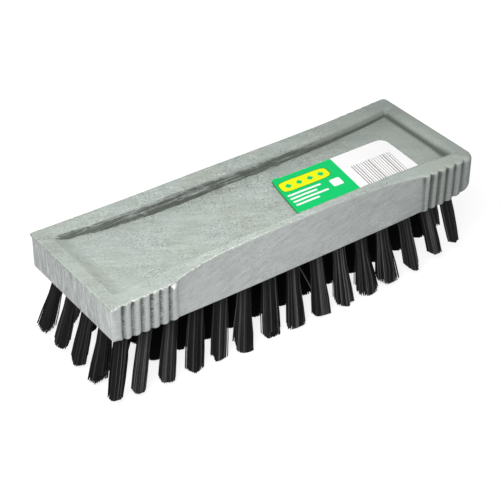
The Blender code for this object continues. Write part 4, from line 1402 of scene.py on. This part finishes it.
def label_mesh(shape, s):
    """The label's sheet over the dished floor, with a curled back left corner and a round back right one."""
    corner_steps, middle_steps, rows = 9, 44, 20
    left_lift = 0.3 * MM
    turns = np.linspace(0, math.pi / 2, corner_steps)
    columns = np.concatenate([
        s.back_left_radius * (1 - np.cos(turns)),
        np.linspace(s.back_left_radius, s.length - s.right_radius, middle_steps)[1:-1],
        s.length - s.right_radius * (1 - np.cos(turns[::-1])),
    ])
    along = np.array((math.cos(s.turn), math.sin(s.turn)))
    down = np.array((math.sin(s.turn), -math.cos(s.turn)))
    places, wear, curls = [], [], []
    for u in columns:
        back = max(rounded_inset(u, s.back_left_radius), rounded_inset(s.length - u, s.right_radius))
        front = rounded_inset(min(u, s.length - u), s.front_radius)
        for v in np.linspace(back, s.width - front, rows + 1):
            drawn_in = (s.left_draw - s.left_slant * v) * (1 - u / s.length) ** 2
            places.append(np.array((s.corner_x, s.corner_y)) + along * (u + drawn_in) + down * v)
            from_edge = min(s.length - u, v, s.width - v)
            wear.append(0.55 * bell(from_edge, 0.2 * MM))
            curls.append(s.curl * ramp(7, 0, math.hypot(u, v)) + left_lift * ramp(4, 0, u))
    x, y = np.array(places).T
    z = shape.height(x, y) + s.lift + s.thickness + np.array(curls)
    top = np.stack([x, y, z], axis=1)
    lower = top - np.array((0, 0, s.thickness))
    size = rows + 1
    count = len(top)
    faces = []
    for j in range(len(columns) - 1):
        for i in range(rows):
            a, b, c, d = j * size + i, j * size + i + 1, (j + 1) * size + i + 1, (j + 1) * size + i
            faces.append((a, b, c, d))
            faces.append((count + d, count + c, count + b, count + a))
    border = [j * size for j in range(len(columns))] + [(len(columns) - 1) * size + i for i in range(1, size)]
    border += [j * size + rows for j in range(len(columns) - 2, -1, -1)] + list(range(rows - 1, 0, -1))
    for k, here in enumerate(border):
        following = border[(k + 1) % len(border)]
        faces.append((here, following, count + following, count + here))
    return np.concatenate([top, lower]), faces, wear + wear


class SHOEBRUSH_OT_label(bpy.types.Operator):
    """Lay the printed paper label on the floor of the recess"""

    bl_idname = "shoebrush.label"
    bl_label = "Paper Label"

    def execute(self, context):
        s = settings("label")
        vertices, faces, wear = label_mesh(BlockShape(settings("block")), s)
        label = new_piece("paper_label", vertices, faces, [label_look(s)],
                          {"edge_wear": wear}, 40)
        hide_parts("label")
        return {"FINISHED"}


def floor_look(s):
    """A pale floor that the camera and reflections see as white where no shadow falls on it."""
    look, sheet, surface = new_look("studio_floor")
    ray = sheet.add("LightPath").outputs
    seen = sheet.maths("MAXIMUM", sheet.maths("MAXIMUM", ray["Is Camera Ray"], ray["Is Glossy Ray"]),
                       ray["Is Transmission Ray"])
    sheet.feed(surface["Base Color"], sheet.mix(seen, s.floor_colour, (s.floor_shown,) * 3))
    sheet.feed(surface["Emission Color"], sheet.mix(seen, (0.0, 0.0, 0.0), (s.floor_glow,) * 3))
    surface["Emission Strength"].default_value = 1.0
    surface["Roughness"].default_value = 1.0
    surface["Specular IOR Level"].default_value = 0.0
    return look


# Sizes and places in the studio in metres, the camera's sensor in millimetres and its shift in shares of that
FLOOR_REACH = 4.0
LAMP_SIZE = 0.36
LAMP_PLACE = (-0.30, -0.20, 0.42)
CAMERA_PLACE = (-0.32380, -0.42665, 0.41764)
LENS_CLIP = (0.01, 20.0)
SENSOR_WIDTH = 36.0
LENS_SHIFT = (0.0636, 0.0116)


def lay_floor(s):
    """A square floor under the brush, far wider than what the camera sees."""
    mesh = bpy.data.meshes.new("studio_floor")
    corners = [(x * FLOOR_REACH, y * FLOOR_REACH, 0) for x, y in ((-1, -1), (1, -1), (1, 1), (-1, 1))]
    mesh.from_pydata(corners, [], [(0, 1, 2, 3)])
    mesh.materials.append(floor_look(s))
    floor = new_object("studio_floor", mesh)


def light_studio(s):
    """Even light from all round, and one lamp at the upper left that faces the brush."""
    world = bpy.data.worlds.new("studio_light")
    bpy.context.scene.world = world
    world.use_nodes = True
    sky = world.node_tree.nodes["Background"].inputs
    sky["Color"].default_value = (*s.sky_colour, 1)
    sky["Strength"].default_value = s.sky_strength

    lamp = bpy.data.lights.new("key_lamp", "AREA")
    lamp.size = LAMP_SIZE
    lamp.energy = s.key_power
    key = new_object("key_lamp", lamp)
    key.location = LAMP_PLACE
    key.rotation_mode = "QUATERNION"
    key.rotation_quaternion = (-key.location).to_track_quat("-Z", "Y")


def aim_camera(s):
    """The camera at its place, turned to look along its azimuth and elevation."""
    lens = bpy.data.cameras.new("studio_camera")
    lens.lens = s.lens
    lens.sensor_width = SENSOR_WIDTH
    lens.shift_x, lens.shift_y = LENS_SHIFT
    lens.clip_start, lens.clip_end = LENS_CLIP
    camera = new_object("studio_camera", lens)
    level = math.cos(s.elevation)
    back = Vector((math.sin(s.azimuth) * level, -math.cos(s.azimuth) * level, math.sin(s.elevation)))
    turned = (-back).to_track_quat("-Z", "Y").to_matrix() @ Matrix.Rotation(s.roll, 3, "Z")
    camera.matrix_world = Matrix.Translation(CAMERA_PLACE) @ turned.to_4x4()
    bpy.context.scene.camera = camera


class SHOEBRUSH_OT_studio(bpy.types.Operator):
    """Set up the floor, the even light, the lamp and the camera"""

    bl_idname = "shoebrush.studio"
    bl_label = "Studio Stage"

    def execute(self, context):
        s = settings("studio")
        lay_floor(s)
        light_studio(s)
        aim_camera(s)
        context.scene.view_settings.view_transform = "Standard"
        return {"FINISHED"}


OPERATORS = (SHOEBRUSH_OT_block, SHOEBRUSH_OT_tufts, SHOEBRUSH_OT_anchors, SHOEBRUSH_OT_label,
             SHOEBRUSH_OT_studio)


class SHOEBRUSH_PT_panel(bpy.types.Panel):
    """Sizes, colours and steps of the shoe brush"""

    bl_label = "Shoe Brush"
    bl_idname = "SHOEBRUSH_PT_panel"
    bl_space_type = "VIEW_3D"
    bl_region_type = "UI"
    bl_category = "Shoe Brush"

    def draw(self, context):
        for group in SETTINGS:
            box = self.layout.box()
            box.label(text=short_name(group).capitalize())
            for prop in group.__annotations__:
                box.prop(settings(short_name(group)), prop)
        for operator in OPERATORS:
            self.layout.operator(operator.bl_idname)


def register():
    for group in SETTINGS:
        bpy.utils.register_class(group)
        setattr(bpy.types.Scene, "shoe_brush_" + short_name(group), PointerProperty(type=group))
    for operator in OPERATORS:
        bpy.utils.register_class(operator)
    bpy.utils.register_class(SHOEBRUSH_PT_panel)


def unregister():
    bpy.utils.unregister_class(SHOEBRUSH_PT_panel)
    for operator in reversed(OPERATORS):
        bpy.utils.unregister_class(operator)
    for group in reversed(SETTINGS):
        delattr(bpy.types.Scene, "shoe_brush_" + short_name(group))
        bpy.utils.unregister_class(group)


def main():
    register()
    bpy.ops.shoebrush.block()
    bpy.ops.shoebrush.tufts()
    bpy.ops.shoebrush.anchors()
    bpy.ops.shoebrush.label()
    bpy.ops.shoebrush.studio()


if __name__ == "__main__":
    main()
